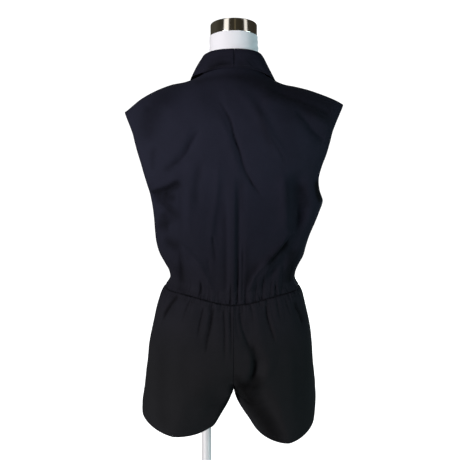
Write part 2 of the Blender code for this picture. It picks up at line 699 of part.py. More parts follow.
def back_collar_sections(side):
    """Sections round the back of the neck, from the centre back to the shoulder seam."""
    for row in BACK_COLLAR:
        u = side * NECK_SHARE * row.turn / 90
        seam = back_surface(u, 3)
        radial = np.array([side * math.sin(math.radians(row.turn)),
                           -math.cos(math.radians(row.turn)), 0.0])
        lean = row.lean_right if side > 0 else row.lean_left
        rise = unit(np.array([0, 0, row.stand]) + lean * radial)
        outward = unit(radial - (radial @ rise) * rise)
        point, along, upward = surface_frame(back_surface, side * row.across, row.level)
        normal = unit(np.cross(along, upward))
        lift = row.lift_right if side > 0 else row.lift_left
        bow = COLLAR_BOW_RIGHT if side > 0 else COLLAR_BOW_LEFT
        yield collar_section(seam, rise, outward, row.stand, point, normal, lift, bow)


def front_collar_sections(side, over):
    """Sections down the front edge, from the shoulder seam to the collar's end."""
    def surface(q, level):
        return front_surface(side, over, q, level)

    end = COLLAR_END_RIGHT if side > 0 else COLLAR_END_LEFT
    for row in (*FRONT_COLLAR, end):
        seam, along, upward = surface_frame(surface, 1.0, row.level)
        normal = side * unit(np.cross(along, upward))
        off_edge = unit(along - (along @ upward) * upward)
        radial = unit(np.array([seam[0], seam[1], 0.0]))
        rise = unit(row.upright * np.array([0, 0, 1.0]) + (1 - row.upright) * off_edge)
        toward = row.upright * radial + (1 - row.upright) * normal
        outward = unit(toward - (toward @ rise) * rise)
        edge_x = side * surface(1.0, row.edge_level)[0] + row.width
        low, high = 0.0, 1.0
        for _ in range(BISECTIONS):
            q = (low + high) / 2
            if side * surface(q, row.edge_level)[0] > edge_x:
                low = q
            else:
                high = q
        point, along, upward = surface_frame(surface, q, row.edge_level)
        edge_normal = side * unit(np.cross(along, upward))
        lift = row.lift_right if side > 0 else row.lift_left
        bow = COLLAR_BOW_RIGHT if side > 0 else COLLAR_BOW_LEFT
        yield collar_section(seam, rise, outward, row.stand, point, edge_normal, lift, bow)


def build_collar(side, over, material):
    """Half of the collar, from its centre back seam to its end on the front."""
    sections = list(back_collar_sections(side)) + list(front_collar_sections(side, over))
    points = np.array(sections)
    flip = side < 0
    normals = grid_normals(points, flip)
    keep_seams_parallel(normals, (("bottom", slice(None), 0),))
    points[0, :, 0] = side * SEAM_GAP / 2
    name = "collar_right" if side > 0 else "collar_left"
    points += COLLAR_CLOTH * normals
    return wall_object(name, points, normals, COLLAR_CLOTH, flip, True, material)


# ---- form and stand ------------------------------------------------------------------------
def build_form(material):
    """The limbless form, a stack of superellipse rings from the seat to the neck."""
    vertices = []
    for ring in FORM_RINGS:
        for step in range(FORM_STEPS):
            angle = 2 * math.pi * step / FORM_STEPS
            x = ring.half_width * signed_power(round(math.cos(angle), 9), 2 / ring.power)
            share = signed_power(round(math.sin(angle), 9), 2 / ring.power)
            y = (ring.front if share > 0 else ring.back) * share
            vertices.append((x * MM, y * MM, ring.z * MM))
    faces = []
    for r in range(len(FORM_RINGS) - 1):
        for step in range(FORM_STEPS):
            a = r * FORM_STEPS + step
            b = r * FORM_STEPS + (step + 1) % FORM_STEPS
            faces.append((a, b, b + FORM_STEPS, a + FORM_STEPS))
    last = (len(FORM_RINGS) - 1) * FORM_STEPS
    faces.append(tuple(range(FORM_STEPS - 1, -1, -1)))
    faces.append(tuple(range(last, last + FORM_STEPS)))
    form = mesh_object("form_body", vertices, faces, material)
    form.data.shade_smooth()
    form.data.set_sharp_from_angle(angle=math.radians(SHARP_ANGLE))


def turned_object(name, profile, steps, material):
    """Solid turned about its own Z axis from a profile of (radius, z) points, in millimetres."""
    mesh = bpy.data.meshes.new(name)
    shape = bmesh.new()
    rings = [[shape.verts.new((radius * math.cos(2 * math.pi * i / steps) * MM,
                               radius * math.sin(2 * math.pi * i / steps) * MM, z * MM))
              for i in range(steps)] for radius, z in profile]
    for low, high in zip(rings, rings[1:]):
        for i in range(steps):
            j = (i + 1) % steps
            shape.faces.new((low[i], low[j], high[j], high[i]))
    shape.faces.new(rings[0][::-1])
    shape.faces.new(rings[-1])
    shape.to_mesh(mesh)
    shape.free()
    mesh.materials.append(material)
    mesh.shade_smooth()
    mesh.set_sharp_from_angle(angle=math.radians(SHARP_ANGLE))
    obj = bpy.data.objects.new(name, mesh)
    bpy.context.collection.objects.link(obj)
    return obj


def build_cap(material):
    profile = ((CAP_RADIUS - CAP_BEVEL, 0), (CAP_RADIUS, CAP_BEVEL),
               (CAP_RADIUS, CAP_HEIGHT - CAP_BEVEL), (CAP_RADIUS - CAP_BEVEL, CAP_HEIGHT),
               (CAP_RADIUS - CAP_CROWN_INSET, CAP_HEIGHT + CAP_CROWN_RISE))
    cap = turned_object("neck_cap", profile, CAP_STEPS, material)
    cap.location.z = (FORM_TOP_Z + SEAM_GAP) * MM


def build_base(material):
    profile = ((PLATE_RADIUS - PLATE_BEVEL, 0), (PLATE_RADIUS, PLATE_BEVEL),
               (PLATE_RADIUS, PLATE_HEIGHT - PLATE_BEVEL),
               (PLATE_RADIUS - PLATE_BEVEL, PLATE_HEIGHT))
    turned_object("stand_base", profile, PLATE_STEPS, material)


def build_pole(material):
    """The pole, with the same flange at its foot and at its head."""
    foot_z = PLATE_HEIGHT + SEAM_GAP
    height = FORM_BASE_Z - SEAM_GAP - foot_z
    lower = ((FLANGE_RADIUS, 0), (FLANGE_RADIUS, FLANGE_HEIGHT - FLANGE_EDGE),
             (POLE_RADIUS + FLANGE_NECK, FLANGE_HEIGHT),
             (POLE_RADIUS, FLANGE_HEIGHT + FLANGE_FILLET))
    upper = tuple((radius, height - z) for radius, z in reversed(lower))
    pole = turned_object("stand_pole", lower + upper, POLE_STEPS, material)
    pole.location = (POLE_X * MM, 0, foot_z * MM)


def main():
    for obj in list(bpy.data.objects):
        bpy.data.objects.remove(obj, do_unlink=True)
    black_cloth = make_material("black_cloth", (0.012, 0.012, 0.016), 0.85, 0.0)
    white_jersey = make_material("white_jersey", (0.80, 0.80, 0.82), 0.9, 0.0)
    brushed_chrome = make_material("brushed_chrome", (0.62, 0.58, 0.52), 0.25, 1.0)
    white_enamel = make_material("white_enamel", (0.85, 0.85, 0.85), 0.35, 0.0)
    build_bodice_back(black_cloth)
    for side, over in ((1, 1), (-1, 0)):
        build_bodice_front(side, over, black_cloth)
        build_collar(side, over, black_cloth)
        for face in (-1, 1):
            build_shorts(side, face, black_cloth)
    build_form(white_jersey)
    build_cap(brushed_chrome)
    build_base(white_enamel)
    build_pole(white_enamel)
    bpy.context.view_layer.update()


main()
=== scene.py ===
"""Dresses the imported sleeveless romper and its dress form: cloth panels with their folds,
gathers, seams and stitching, the jersey-covered form, its chrome neck cap and the stand.

Every panel is a thin shell on the outer face of its solid.  All lengths are in metres.
"""
import json
import math
import random
from collections import namedtuple
from functools import cache

import bmesh
import bpy
import numpy as np
from bpy.props import FloatProperty, FloatVectorProperty, PointerProperty
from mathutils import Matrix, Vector
from mathutils.bvhtree import BVHTree

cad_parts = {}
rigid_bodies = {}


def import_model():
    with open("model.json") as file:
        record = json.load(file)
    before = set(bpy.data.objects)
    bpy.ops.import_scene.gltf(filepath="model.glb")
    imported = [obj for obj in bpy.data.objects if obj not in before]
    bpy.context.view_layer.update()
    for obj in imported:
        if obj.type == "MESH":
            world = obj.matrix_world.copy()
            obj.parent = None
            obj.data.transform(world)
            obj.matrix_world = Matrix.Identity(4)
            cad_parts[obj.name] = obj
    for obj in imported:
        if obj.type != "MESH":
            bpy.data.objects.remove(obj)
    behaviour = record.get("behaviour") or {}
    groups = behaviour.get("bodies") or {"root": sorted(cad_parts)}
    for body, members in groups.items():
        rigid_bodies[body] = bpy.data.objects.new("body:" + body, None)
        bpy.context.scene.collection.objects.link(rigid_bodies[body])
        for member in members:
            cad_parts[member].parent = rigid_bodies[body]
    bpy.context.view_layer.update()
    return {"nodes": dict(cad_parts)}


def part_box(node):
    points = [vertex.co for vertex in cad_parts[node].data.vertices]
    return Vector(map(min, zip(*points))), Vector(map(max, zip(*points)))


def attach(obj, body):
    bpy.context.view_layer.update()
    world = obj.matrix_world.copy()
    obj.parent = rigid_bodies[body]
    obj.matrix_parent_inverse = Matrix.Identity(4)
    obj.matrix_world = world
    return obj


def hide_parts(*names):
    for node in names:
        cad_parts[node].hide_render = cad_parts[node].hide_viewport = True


for left_over in list(bpy.data.objects):
    bpy.data.objects.remove(left_over, do_unlink=True)
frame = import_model()

bl_info = {
    "name": "Romper on a dress form",
    "version": (1, 0, 0),
    "blender": (4, 5, 0),
    "location": "View3D > Sidebar > Romper",
    "description": "Models the romper's cloth, its stitching, the dress form and its stand",
    "category": "Add Mesh",
}

MM = 0.001
PANELS = {}       # the finished cloth surfaces, by node name
GIVE = 0.003      # how far the jersey gives way under the cloth
AIR = 0.0004      # what is left between the cloth and the form
COVERED = (0.42, 0.46, 0.90, 0.93)      # the heights between which cloth hides the jersey
SUNK = (0.36, 0.42, 0.93, 0.95)         # and between which the jersey gives way
FLAT = 0.010      # a bodice panel's folds run out this near its edges
EDGE_SHADE_REACH = 0.0012     # how far from an edge its painted shade reaches
EDGE_SHADE, COLLAR_EDGE_SHADE = 0.65, 0.25          # the share of the light lost at an edge: a painted shade along seams and edges
HEM = (0.0003, 0.0115, 0.0135)          # how thick the turned hem is and where it ends
# how far each line of stitching lies from its edge
STITCHED = {"armhole": 0.007, "wrap": 0.006, "free": 0.005, "waist": 0.008, "hem": 0.012}
ALONG_ROWS = ("waist", "hem")       # the stitching that runs along a wall's rows

# The spacing of the fine points across and up each kind of panel.
BACK_PITCH, FRONT_PITCH = (0.0016, 0.0029), (0.0018, 0.0029)
COLLAR_PITCH, SHORTS_PITCH = (0.0019, 0.0021), (0.0016, 0.0026)
# Two sorts of gathers for each kind: share of the depth, seed, spacing and reach from the waist.
BACK_GATHERS = ((1, 11, 0.0125, 0.030), (0.8, 12, 0.0042, 0.015))
FRONT_GATHERS = ((1, 21, 0.0120, 0.030), (0.7, 31, 0.0048, 0.013))
SHORTS_GATHERS = ((1, 41, 0.0120, 0.036), (0.8, 51, 0.0042, 0.018))
# How deep a sewn border rolls inwards, and over what width.
BODICE_ROLL, WAIST_ROLL, COLLAR_ROLL = (0.0006, 0.0022), (0.0026, 0.0030), (0.0003, 0.0014)
SIDE_ROLL, INSEAM_ROLL, SHORTS_WAIST_ROLL = (0.0005, 0.0020), (0.00015, 0.0016), (0.0026, 0.0026)

# A CAD wall: its grid of points, and which way its rows and its columns run.
Wall = namedtuple("Wall", "rows columns up across")
BACK = "bodice_back"
FRONTS = {1: "bodice_front_right", -1: "bodice_front_left"}
COLLARS = {1: "collar_right", -1: "collar_left"}
LEGS = {(1, -1): "shorts_back_right", (-1, -1): "shorts_back_left",
        (1, 1): "shorts_front_right", (-1, 1): "shorts_front_left"}
WALLS = {BACK: Wall(21, 31, (0, 0, 1), (1, 0, 0))}
for _side, _node in FRONTS.items():
    WALLS[_node] = Wall(21, 13, (0, 0, 1), (-_side, 0, 0))
for _side, _node in COLLARS.items():
    WALLS[_node] = Wall(12, 10, (0, 1, 0), (_side, 0, 0))
for (_side, _face), _node in LEGS.items():
    WALLS[_node] = Wall(18, 14, (0, 0, -1), (-_side, 0, 0))
UNDERARM_ROW = 9
NECK_CORNER_ROW = 15
CROTCH_ROW = 13
NECK_COLUMNS = (9, 21)
LAST_BACK_COLUMN, LAST_LEG_COLUMN = 30, 13
LAST = 99         # beyond every wall's last row and column

# ---- folds, in millimetres as seen from behind -----------------------------------------------
# depth is how far the fold stands out of the cloth (below zero it is a trough), width its half
# width, power its profile (2 a soft roll, 1 a sharp crease), come and go the shares of its length
# over which it comes and goes, path its line of points: x, z, x, z ...
Fold = namedtuple("Fold", "depth width power come go path")


def folds(*rows):
    """Folds from rows of plain numbers."""
    return [Fold(*row[:5], np.array(row[5:], float).reshape(-1, 2)) for row in rows]


BACK_FOLDS = folds(
    # the long crease from below the neck: a pinched line with a soft roll on each side
    (-4, 1.8, 1.2, 0.25, 0.15, -31, 914, -24, 900, -7, 869, 1, 838, 11, 810, 20, 779, 32, 755, 45,
     737, 57, 721),
    (2.1, 8, 1.8, 0.3, 0.3, -38, 890, -20, 860, -8, 830, 0, 800, 10, 775, 22, 752),
    (1.4, 7, 1.8, 0.3, 0.3, 4, 858, 14, 830, 22, 802, 32, 778, 44, 758),
    # rolls that fan out from the neck
    (2.4, 10, 1.9, 0.25, 0.25, -4, 938, 18, 915, 37, 891, 53, 870, 73, 830, 87, 811, 99, 789),
    (-1.6, 2.2, 1.3, 0.2, 0.3, 68, 838, 91, 803, 102, 782),
    (-1, 9, 1.9, 0.3, 0.3, 30, 925, 52, 893, 70, 862, 90, 828, 104, 808),
    (-4.2, 6, 1.5, 0.25, 0.15, -59, 856, -71, 840, -80, 826, -88, 811, -100, 795, -115, 784, -137,
     773),
    (3, 11, 1.9, 0.3, 0.3, -76, 862, -90, 840, -100, 820, -116, 804, -136, 790),
    (-4.6, 14, 2, 0.3, 0.3, -128, 900, -142, 880, -160, 855, -175, 832),
    (3, 10, 2, 0.3, 0.3, -166, 900, -180, 876, -192, 852),
    (-2, 6, 1.8, 0.3, 0.3, -150, 822, -158, 800, -160, 778),
    (-4, 8, 1.8, 0.3, 0.1, 60, 936, 90, 926, 123, 914, 158, 902, 195, 886),
    (2.6, 10, 1.9, 0.3, 0.3, 52, 916, 84, 904, 118, 896),
    (-5, 7.5, 1.6, 0.25, 0.15, 118, 892, 124, 886, 139, 874, 151, 858, 170, 842, 181, 834),
    (2.4, 8, 1.8, 0.3, 0.3, 150, 888, 164, 874, 182, 860, 196, 850),
    (-2.6, 9, 2, 0.3, 0.3, -60, 800, -66, 770, -70, 730, -66, 690),
    # the ripples down the middle, each running out in the gathers
    (1.9, 5.5, 1.7, 0.4, 0, -1, 802, 0, 775, 0, 700, 0, 640, -1, 580, -2, 512),
    (-1.6, 4.5, 1.6, 0.35, 0, 11, 770, 11, 700, 10.5, 650, 10, 600, 9, 550, 8.5, 512),
    (-3.2, 6.5, 1.8, 0.3, 0.1, -15, 730, -15, 690, -14, 620, -15, 530),
    (3.6, 8, 1.7, 0.3, 0.3, -28, 800, -30, 775, -34, 718, -41, 679, -43, 646, -38, 608),
    (-2.6, 2.4, 1.3, 0.12, 0.12, -41, 650, -39, 630, -35, 602),
    (1.4, 2.4, 1.4, 0.3, 0, 13.5, 640, 13.5, 580, 13, 520),
    (-1.8, 2.3, 1.3, 0.3, 0, 18, 640, 17.5, 580, 17, 520),
    (-1.8, 2.2, 1.3, 0.4, 0, 9.5, 622, 9, 570, 8.5, 512),
    (2.6, 7, 1.8, 0.3, 0.4, -86, 752, -86, 715, -87, 680, -84, 640),
    (-2, 6, 1.8, 0.3, 0.4, -101, 748, -102, 710, -101, 670, -98, 640),
    # drag lines from the left underarm
    (3.2, 5, 1.5, 0.12, 0.2, -170, 734, -150, 741, -130, 748, -112, 758, -97, 764),
    (-5.4, 5.6, 1.5, 0.08, 0.2, -168, 726, -150, 730, -131, 736, -113, 746, -99, 753),
    (-2, 3.2, 1.4, 0.15, 0.3, -162, 724, -146, 716, -128, 702, -116, 688),
    (3, 5, 1.6, 0.15, 0.3, -160, 713, -146, 706, -130, 694, -122, 682),
    (-2, 6, 1.8, 0.3, 0.3, -154, 672, -142, 664, -128, 655),
    (3, 7, 1.8, 0.3, 0.3, -156, 690, -140, 682, -124, 670),
    (-2.4, 7, 1.8, 0.3, 0.3, -146, 634, -134, 628, -122, 624),
    # left of the waist
    (3, 4.2, 1.4, 0.2, 0.15, -123, 637, -102, 630, -90, 618, -76, 605, -65, 591, -57, 574, -49,
     558, -44, 540),
    (-1.6, 6, 1.8, 0.3, 0.3, -100, 612, -84, 596, -74, 576, -66, 556),
    (-3.2, 3.2, 1.4, 0.4, 0.05, -106, 630, -106, 598, -105.5, 578, -108, 560, -110, 534),
    (-1.6, 4, 1.5, 0.3, 0.3, -49, 612, -48, 592, -46, 574),
    # the hollow at the right and the crease that runs from it to the waist
    (4.2, 9, 1.8, 0.3, 0.3, 92, 776, 96, 735, 98, 700, 102, 665, 103, 645),
    (4.4, 3.6, 1.3, 0.2, 0.05, 104, 652, 98, 638, 77, 612, 57, 591, 43, 573, 37, 559, 31, 536),
    (-7.5, 15, 2, 0.25, 0.3, 124, 780, 126, 740, 129, 700, 129, 665, 120, 636),
    (-7.5, 6.5, 1.6, 0.15, 0.5, 122, 650, 107, 633, 92, 616, 75, 600, 60, 586),
    (-1.6, 3.2, 1.4, 0.3, 0.3, 131, 716, 133, 695, 131, 668, 127, 652),
    (-2, 4, 1.6, 0.3, 0.3, 24, 652, 40, 654, 56, 657, 86, 662),
    # the deeper gathers at the waist
    (-3.4, 2.3, 1.4, 0.45, 0, -66, 566, -66, 545, -66, 514),
    (-1.8, 2.2, 1.4, 0.5, 0, -47, 550, -47.5, 530, -48, 510),
    (-1.6, 2, 1.4, 0.5, 0, -31, 548, -31, 530, -31, 506),
    (-3.2, 2.2, 1.4, 0.5, 0, -6, 566, -5.5, 540, -6, 505),
    (-2, 2.2, 1.4, 0.5, 0, 26, 562, 25, 540, 25, 508),
    (-2, 2.4, 1.4, 0.5, 0, 42, 560, 41, 540, 41, 510),
    (-2.4, 2.3, 1.4, 0.45, 0, 46, 572, 45.5, 545, 45, 512),
    (-2.8, 2.4, 1.4, 0.35, 0, 61, 578, 59, 545, 59, 512),
    (-2.2, 2.2, 1.4, 0.45, 0, 76, 566, 75, 540, 75, 514),
    (-1.8, 2, 1.4, 0.5, 0, 84, 556, 84, 535, 84, 516),
    (-2.6, 4, 1.5, 0.35, 0, 99, 608, 98, 580, 98, 555, 98, 520),
    (-2.8, 3.4, 1.4, 0.4, 0.1, 119, 600, 119, 580, 117, 558, 116, 540),
    (3.8, 13, 1.8, 0.3, 0.1, 90, 600, 86, 560, 84, 528),
)
# painted shade: strokes where the cloth lies in its own shade, darkened into its colour; depth is
# the share of the light that is lost
BACK_SHADES = folds(
    (0.55, 19, 2.4, 0.35, 0.02, -30, 956, 8, 955, 44, 946, 84, 932, 132, 917, 196, 896),
    (0.4, 24, 2, 0.3, 0.3, -100, 932, -135, 912, -160, 886, -170, 850, -174, 816),
    (0.26, 16, 2, 0.3, 0.3, 120, 775, 124, 740, 126, 700, 125, 660, 112, 636),
    (0.9, 8, 2, 0.3, 0.3, 120, 640, 93, 619, 76, 603, 60, 586),
    (0.65, 9, 2, 0.05, 0.2, -168, 727, -152, 731, -136, 737, -122, 742, -106, 750, -97, 755),
    (0.5, 9, 2, 0.2, 0.3, -162, 722, -146, 717, -134, 709, -124, 700, -115, 688, -114, 670),
    (0.5, 11, 2, 0.3, 0.3, -158, 670, -143, 664, -126, 662),
    (0.55, 9, 2, 0.3, 0.3, -144, 728, -126, 723, -110, 719),
    (0.45, 12, 2, 0.3, 0.3, -144, 696, -134, 680, -128, 664),
    (0.55, 12, 2, 0.3, 0.3, -146, 636, -122, 630, -100, 622),
    (0.36, 5, 2, 0.3, 0.1, -106, 628, -104, 590, -107, 545),
    (0.6, 9, 2, 0.15, 0.05, 116, 622, 113, 580, 112, 545),
    (0.4, 8, 2, 0.15, 0.05, 132, 622, 124, 580, 122, 545),
    (0.3, 15, 2, 0.3, 0.1, -112, 596, -106, 560, -104, 520),
    (0.36, 8, 2, 0.3, 0.3, 48, 600, 33, 578, 26, 540),
    (0.16, 6, 2, 0.3, 0.3, -41, 640, -40, 590, -44, 545),
    (0.28, 24, 2.4, 0.3, 0, 88, 910, 120, 890, 150, 872, 176, 850),
    (0.16, 20, 2, 0.3, 0.3, 92, 905, 98, 860, 108, 820, 118, 780),
    (0.34, 8, 2, 0.1, 0.3, -80, 946, -50, 951, -20, 953, 10, 952, 40, 947),
    (0.3, 9, 2, 0.3, 0, 118, 902, 150, 887, 194, 872),
    (0.24, 12, 2, 0.3, 0.3, 50, 930, 68, 912, 90, 902, 112, 892),
    (0.44, 10, 2, 0.3, 0.3, 134, 756, 140, 726, 146, 692),
    (0.2, 7, 2, 0.3, 0.3, 98, 758, 101, 728, 102, 696),
    (0.3, 5, 2, 0.3, 0.3, 24, 645, 26, 600, 24, 540),
    (0.2, 5, 2, 0.3, 0.3, 13, 768, 14, 730, 15, 688),
    (0.2, 8, 2, 0.3, 0.3, -60, 804, -68, 770, -74, 735, -72, 696),
    (0.22, 7, 2, 0.3, 0.3, -152, 824, -158, 800, -160, 770),
    (0.22, 7, 2, 0.3, 0.3, -98, 798, -118, 785, -140, 774),
    (0.32, 8, 2, 0.3, 0.3, 34, 915, 45, 892, 54, 862, 65, 830, 80, 806),
    # the dark opening at the foot of the right armhole, a painted shade
    (0.97, 7, 4, 0.15, 0.15, 166, 756, 168, 742, 170, 731, 175, 719, 181, 710),
)
FRONT_FOLDS = folds(
    (2.4, 6, 1.6, 0.3, 0.3, 156, 726, 136, 738, 112, 752, 92, 764),
    (-3, 6, 1.6, 0.3, 0.3, 156, 716, 134, 727, 112, 740, 94, 752),
    (2.8, 6, 1.6, 0.3, 0.05, 124, 660, 104, 628, 84, 594, 70, 560, 66, 530),
    (-3.6, 6.5, 1.7, 0.3, 0.05, 112, 648, 92, 612, 76, 578, 60, 544),
    (-3.2, 10, 1.9, 0.3, 0.3, 130, 892, 146, 872, 162, 854, 180, 836),
    (2, 9, 1.9, 0.3, 0.3, 80, 905, 76, 866, 84, 826, 98, 790),
    (-2, 8, 1.9, 0.3, 0.3, 98, 900, 94, 862, 102, 824, 114, 796),
    (2.2, 7, 1.8, 0.3, 0, 36, 672, 42, 620, 44, 570, 44, 522),
    (-2, 6, 1.7, 0.3, 0, 48, 660, 54, 610, 55, 560, 54, 522),
    (-3.2, 2.4, 1.4, 0.45, 0, 88, 584, 90, 560, 90, 522),
    (-3, 2.4, 1.4, 0.45, 0, 112, 590, 113, 560, 112, 526),
    (-2.8, 2.3, 1.4, 0.45, 0, 26, 570, 26, 545, 26, 518),
)
SHORTS_BACK_FOLDS = folds(
    (-2.6, 2.2, 1.4, 0.05, 0.2, -39, 503, -45.5, 468, -53.5, 430, -55.5, 414),
    (1.8, 5, 1.8, 0.1, 0.3, -47, 500, -55, 466, -64, 430),
    (-2.6, 2.2, 1.4, 0.05, 0.4, -60, 503, -65, 481, -72, 442),
    (-4.6, 2.6, 1.4, 0.05, 0.4, -118, 520, -130, 501, -146, 470, -150, 458),
    (1.6, 6, 1.8, 0.1, 0.4, -124, 516, -138, 496, -154, 466),
    (-2.8, 3, 1.4, 0.1, 0.3, -135, 531, -142, 514, -148, 500),
    (-2, 2.5, 1.4, 0.05, 0.4, -20, 499, -17.5, 468, -17.5, 432, -19, 390),
    (-2.2, 2.4, 1.4, 0.05, 0.4, -6.5, 497, -4.5, 442, -4, 400),
    (1.4, 3.5, 1.7, 0.05, 0.4, -11, 497, -10, 450, -10, 405),
    (-1.8, 3, 1.5, 0.05, 0.3, 2, 494, 7.5, 460, 12, 442),
    (-3, 3.2, 1.4, 0.05, 0.15, 13.5, 494, 16.5, 471, 25, 447, 34, 427),
    (-4, 8.5, 1.7, 0.2, 0.3, 31, 442, 41, 425, 44, 409, 46, 389, 44, 372, 36, 356, 29, 342),
    (-3.2, 12, 1.8, 0.3, 0.02, 46, 360, 52, 334, 62, 310, 77, 285, 92, 258, 103, 236),
    (2.2, 7, 1.8, 0.2, 0.4, 22, 432, 30, 415, 32, 395, 31, 372, 25, 350),
    (2.4, 9, 1.9, 0.2, 0.4, 50, 436, 62, 414, 66, 388, 66, 364),
    # the cloth hangs flat to the inner leg and turns in sharply there
    (1.4, 8, 1.8, 0.2, 0.02, 22, 362, 19, 342, 29, 315, 45, 288, 61, 262, 75, 236),
    (8, 12, 1.8, 0.2, 0.02, -7, 352, -14, 322, -26, 294, -40, 266, -54, 238),
    (-3, 2.3, 1.4, 0.05, 0.3, 65, 508, 68, 487, 74.5, 463, 80, 445, 85.5, 429),
    (1.6, 4.5, 1.8, 0.05, 0.3, 70, 505, 74, 484, 81, 460, 88, 438),
    (-4.2, 2.8, 1.4, 0.1, 0.3, 126, 506, 133, 488, 141, 468, 144, 455),
    (-2, 2.2, 1.4, 0.05, 0.5, 88, 512, 91, 494, 97, 470),
    (-1.8, 2.2, 1.4, 0.05, 0.5, 107, 516, 112, 498, 119, 478),
    (-1.6, 2, 1.4, 0.05, 0.5, -92, 512, -97, 494, -104, 470),
    (-1.2, 10, 2, 0.3, 0.3, -8, 372, -2, 352, 4, 336),
    (1.2, 14, 2, 0.3, 0.3, -104, 460, -116, 390, -122, 320, -124, 252),
    (-1.2, 12, 2, 0.3, 0.3, -84, 440, -90, 380, -88, 320, -82, 252),
    (1, 12, 2, 0.3, 0.3, -58, 400, -60, 350, -60, 300, -62, 248),
    (1.2, 12, 2, 0.3, 0.3, 102, 450, 112, 390, 120, 320, 122, 248),
    (-1.4, 10, 2, 0.3, 0.3, 126, 430, 136, 370, 140, 310, 142, 252),
)
# painted shade strokes on the back of the shorts, as for the back
SHORTS_SHADES = folds(
    (0.74, 20, 3, 0.3, 0, 42, 376, 29, 344, 34, 306, 50, 282, 66, 258, 76, 238, 82, 222),
    (0.4, 8, 2, 0.2, 0.3, 42, 380, 36, 366, 29, 354, 24, 340),
    (0.6, 11, 2.4, 0.3, 0.3, 28, 358, 12, 340, 15, 322, 28, 304, 40, 286),
    (0.42, 7, 2, 0.3, 0.3, 27, 440, 37, 420, 42, 400, 45, 382),
    (0.55, 9, 2, 0.3, 0.3, 52, 376, 47, 356, 40, 334),
    (0.5, 9, 2, 0.3, 0.3, 0, 382, 8, 360, 14, 342, 16, 324),
    (0.2, 16, 2, 0.3, 0.1, -136, 480, -148, 400, -150, 330, -146, 240),
)
SHORTS_FRONT_FOLDS = folds(
    (-3.6, 2.8, 1.4, 0.05, 0.3, 42, 514, 47, 476, 56, 438),
    (1.8, 5, 1.8, 0.1, 0.3, 49, 512, 55, 474, 65, 436),
    (-2.6, 2.5, 1.4, 0.05, 0.4, 68, 514, 71, 480, 78, 446),
    (-2.8, 2.8, 1.4, 0.05, 0.4, 104, 518, 114, 486, 122, 456),
    (-2.2, 2.6, 1.4, 0.05, 0.4, 18, 512, 17, 476, 19, 430),
    (2.4, 7, 1.7, 0.2, 0.3, 10, 404, 32, 382, 56, 368, 84, 362),
    (-2.8, 7, 1.7, 0.2, 0.3, 8, 388, 30, 366, 54, 352, 80, 348),
    (-1.6, 12, 2, 0.3, 0.3, 72, 420, 80, 360, 82, 300, 80, 246),
    (1.6, 12, 2, 0.3, 0.3, 106, 440, 116, 370, 122, 300, 124, 246),
)
COLLAR_FOLDS = folds(
    (-3.4, 3, 1.5, 0.2, 0.3, -54, 969, -22, 975, 14, 973),
    (-3, 3, 1.5, 0.2, 0.3, -62, 957, -32, 962, 0, 964),
    (-1.6, 3, 1.5, 0.3, 0.3, 22, 988, 40, 974, 54, 956),
    (1.8, 5, 1.8, 0.3, 0.3, -58, 976, -40, 984, -16, 987, 8, 982),
    (1.4, 4, 1.7, 0.3, 0.3, -60, 963, -30, 968, 4, 969),
    (-1.6, 7, 1.8, 0.3, 0.3, 28, 992, 44, 980, 58, 962, 66, 946),
    (1.4, 7, 1.8, 0.3, 0.3, 14, 990, 30, 976, 46, 958, 56, 944),
)
# painted shade strokes on the collar, as for the back
COLLAR_SHADES = folds(
    (0.5, 5, 2, 0.1, 0.3, -60, 964, -40, 973, -20, 979, 2, 979),
    (0.25, 8, 2, 0.2, 0.3, -56, 976, -38, 982, -14, 986),
    (0.4, 5, 2, 0.1, 0.3, -72, 948, -40, 952, 0, 951, 24, 948),
    (0.3, 7, 2, 0.3, 0.3, 10, 988, 14, 972, 18, 958),
    (0.3, 5, 2, 0.2, 0.3, -62, 955, -32, 960, 0, 962),
    (0.25, 10, 2, 0.3, 0.3, 18, 988, 30, 970, 48, 955),
)

# the colour by height: height in metres, share of the piece's own colour over the waist's, and
# strength, a painted light that makes the cloth brighter or darker by height
BODICE_DYE_AND_LIGHT = ((0.53, 0.0, 0.99), (0.57, 0.3, 0.88), (0.62, 0.7, 0.84), (0.70, 1.0, 0.94),
              (0.78, 1.0, 1.14), (0.86, 1.0, 1.20), (0.94, 1.0, 1.14))
SHORTS_DYE_AND_LIGHT = ((0.24, 1.0, 0.98), (0.31, 1.0, 0.93), (0.36, 1.0, 0.86), (0.42, 0.8, 0.87),
              (0.49, 0.3, 0.97), (0.53, 0.0, 1.02))


# ---- settings a user would change ------------------------------------------------------------
def size(name, description, default, low, high, **more):
    """A setting with limits, a length unless it says otherwise."""
    return FloatProperty(name=name, description=description, default=default, min=low, max=high,
                         **(more or {"unit": "LENGTH", "precision": 5}))


def colour_of(name, description, default):
    """A colour setting."""
    return FloatVectorProperty(name=name, description=description, default=default,
                               subtype="COLOR", min=0, max=1)


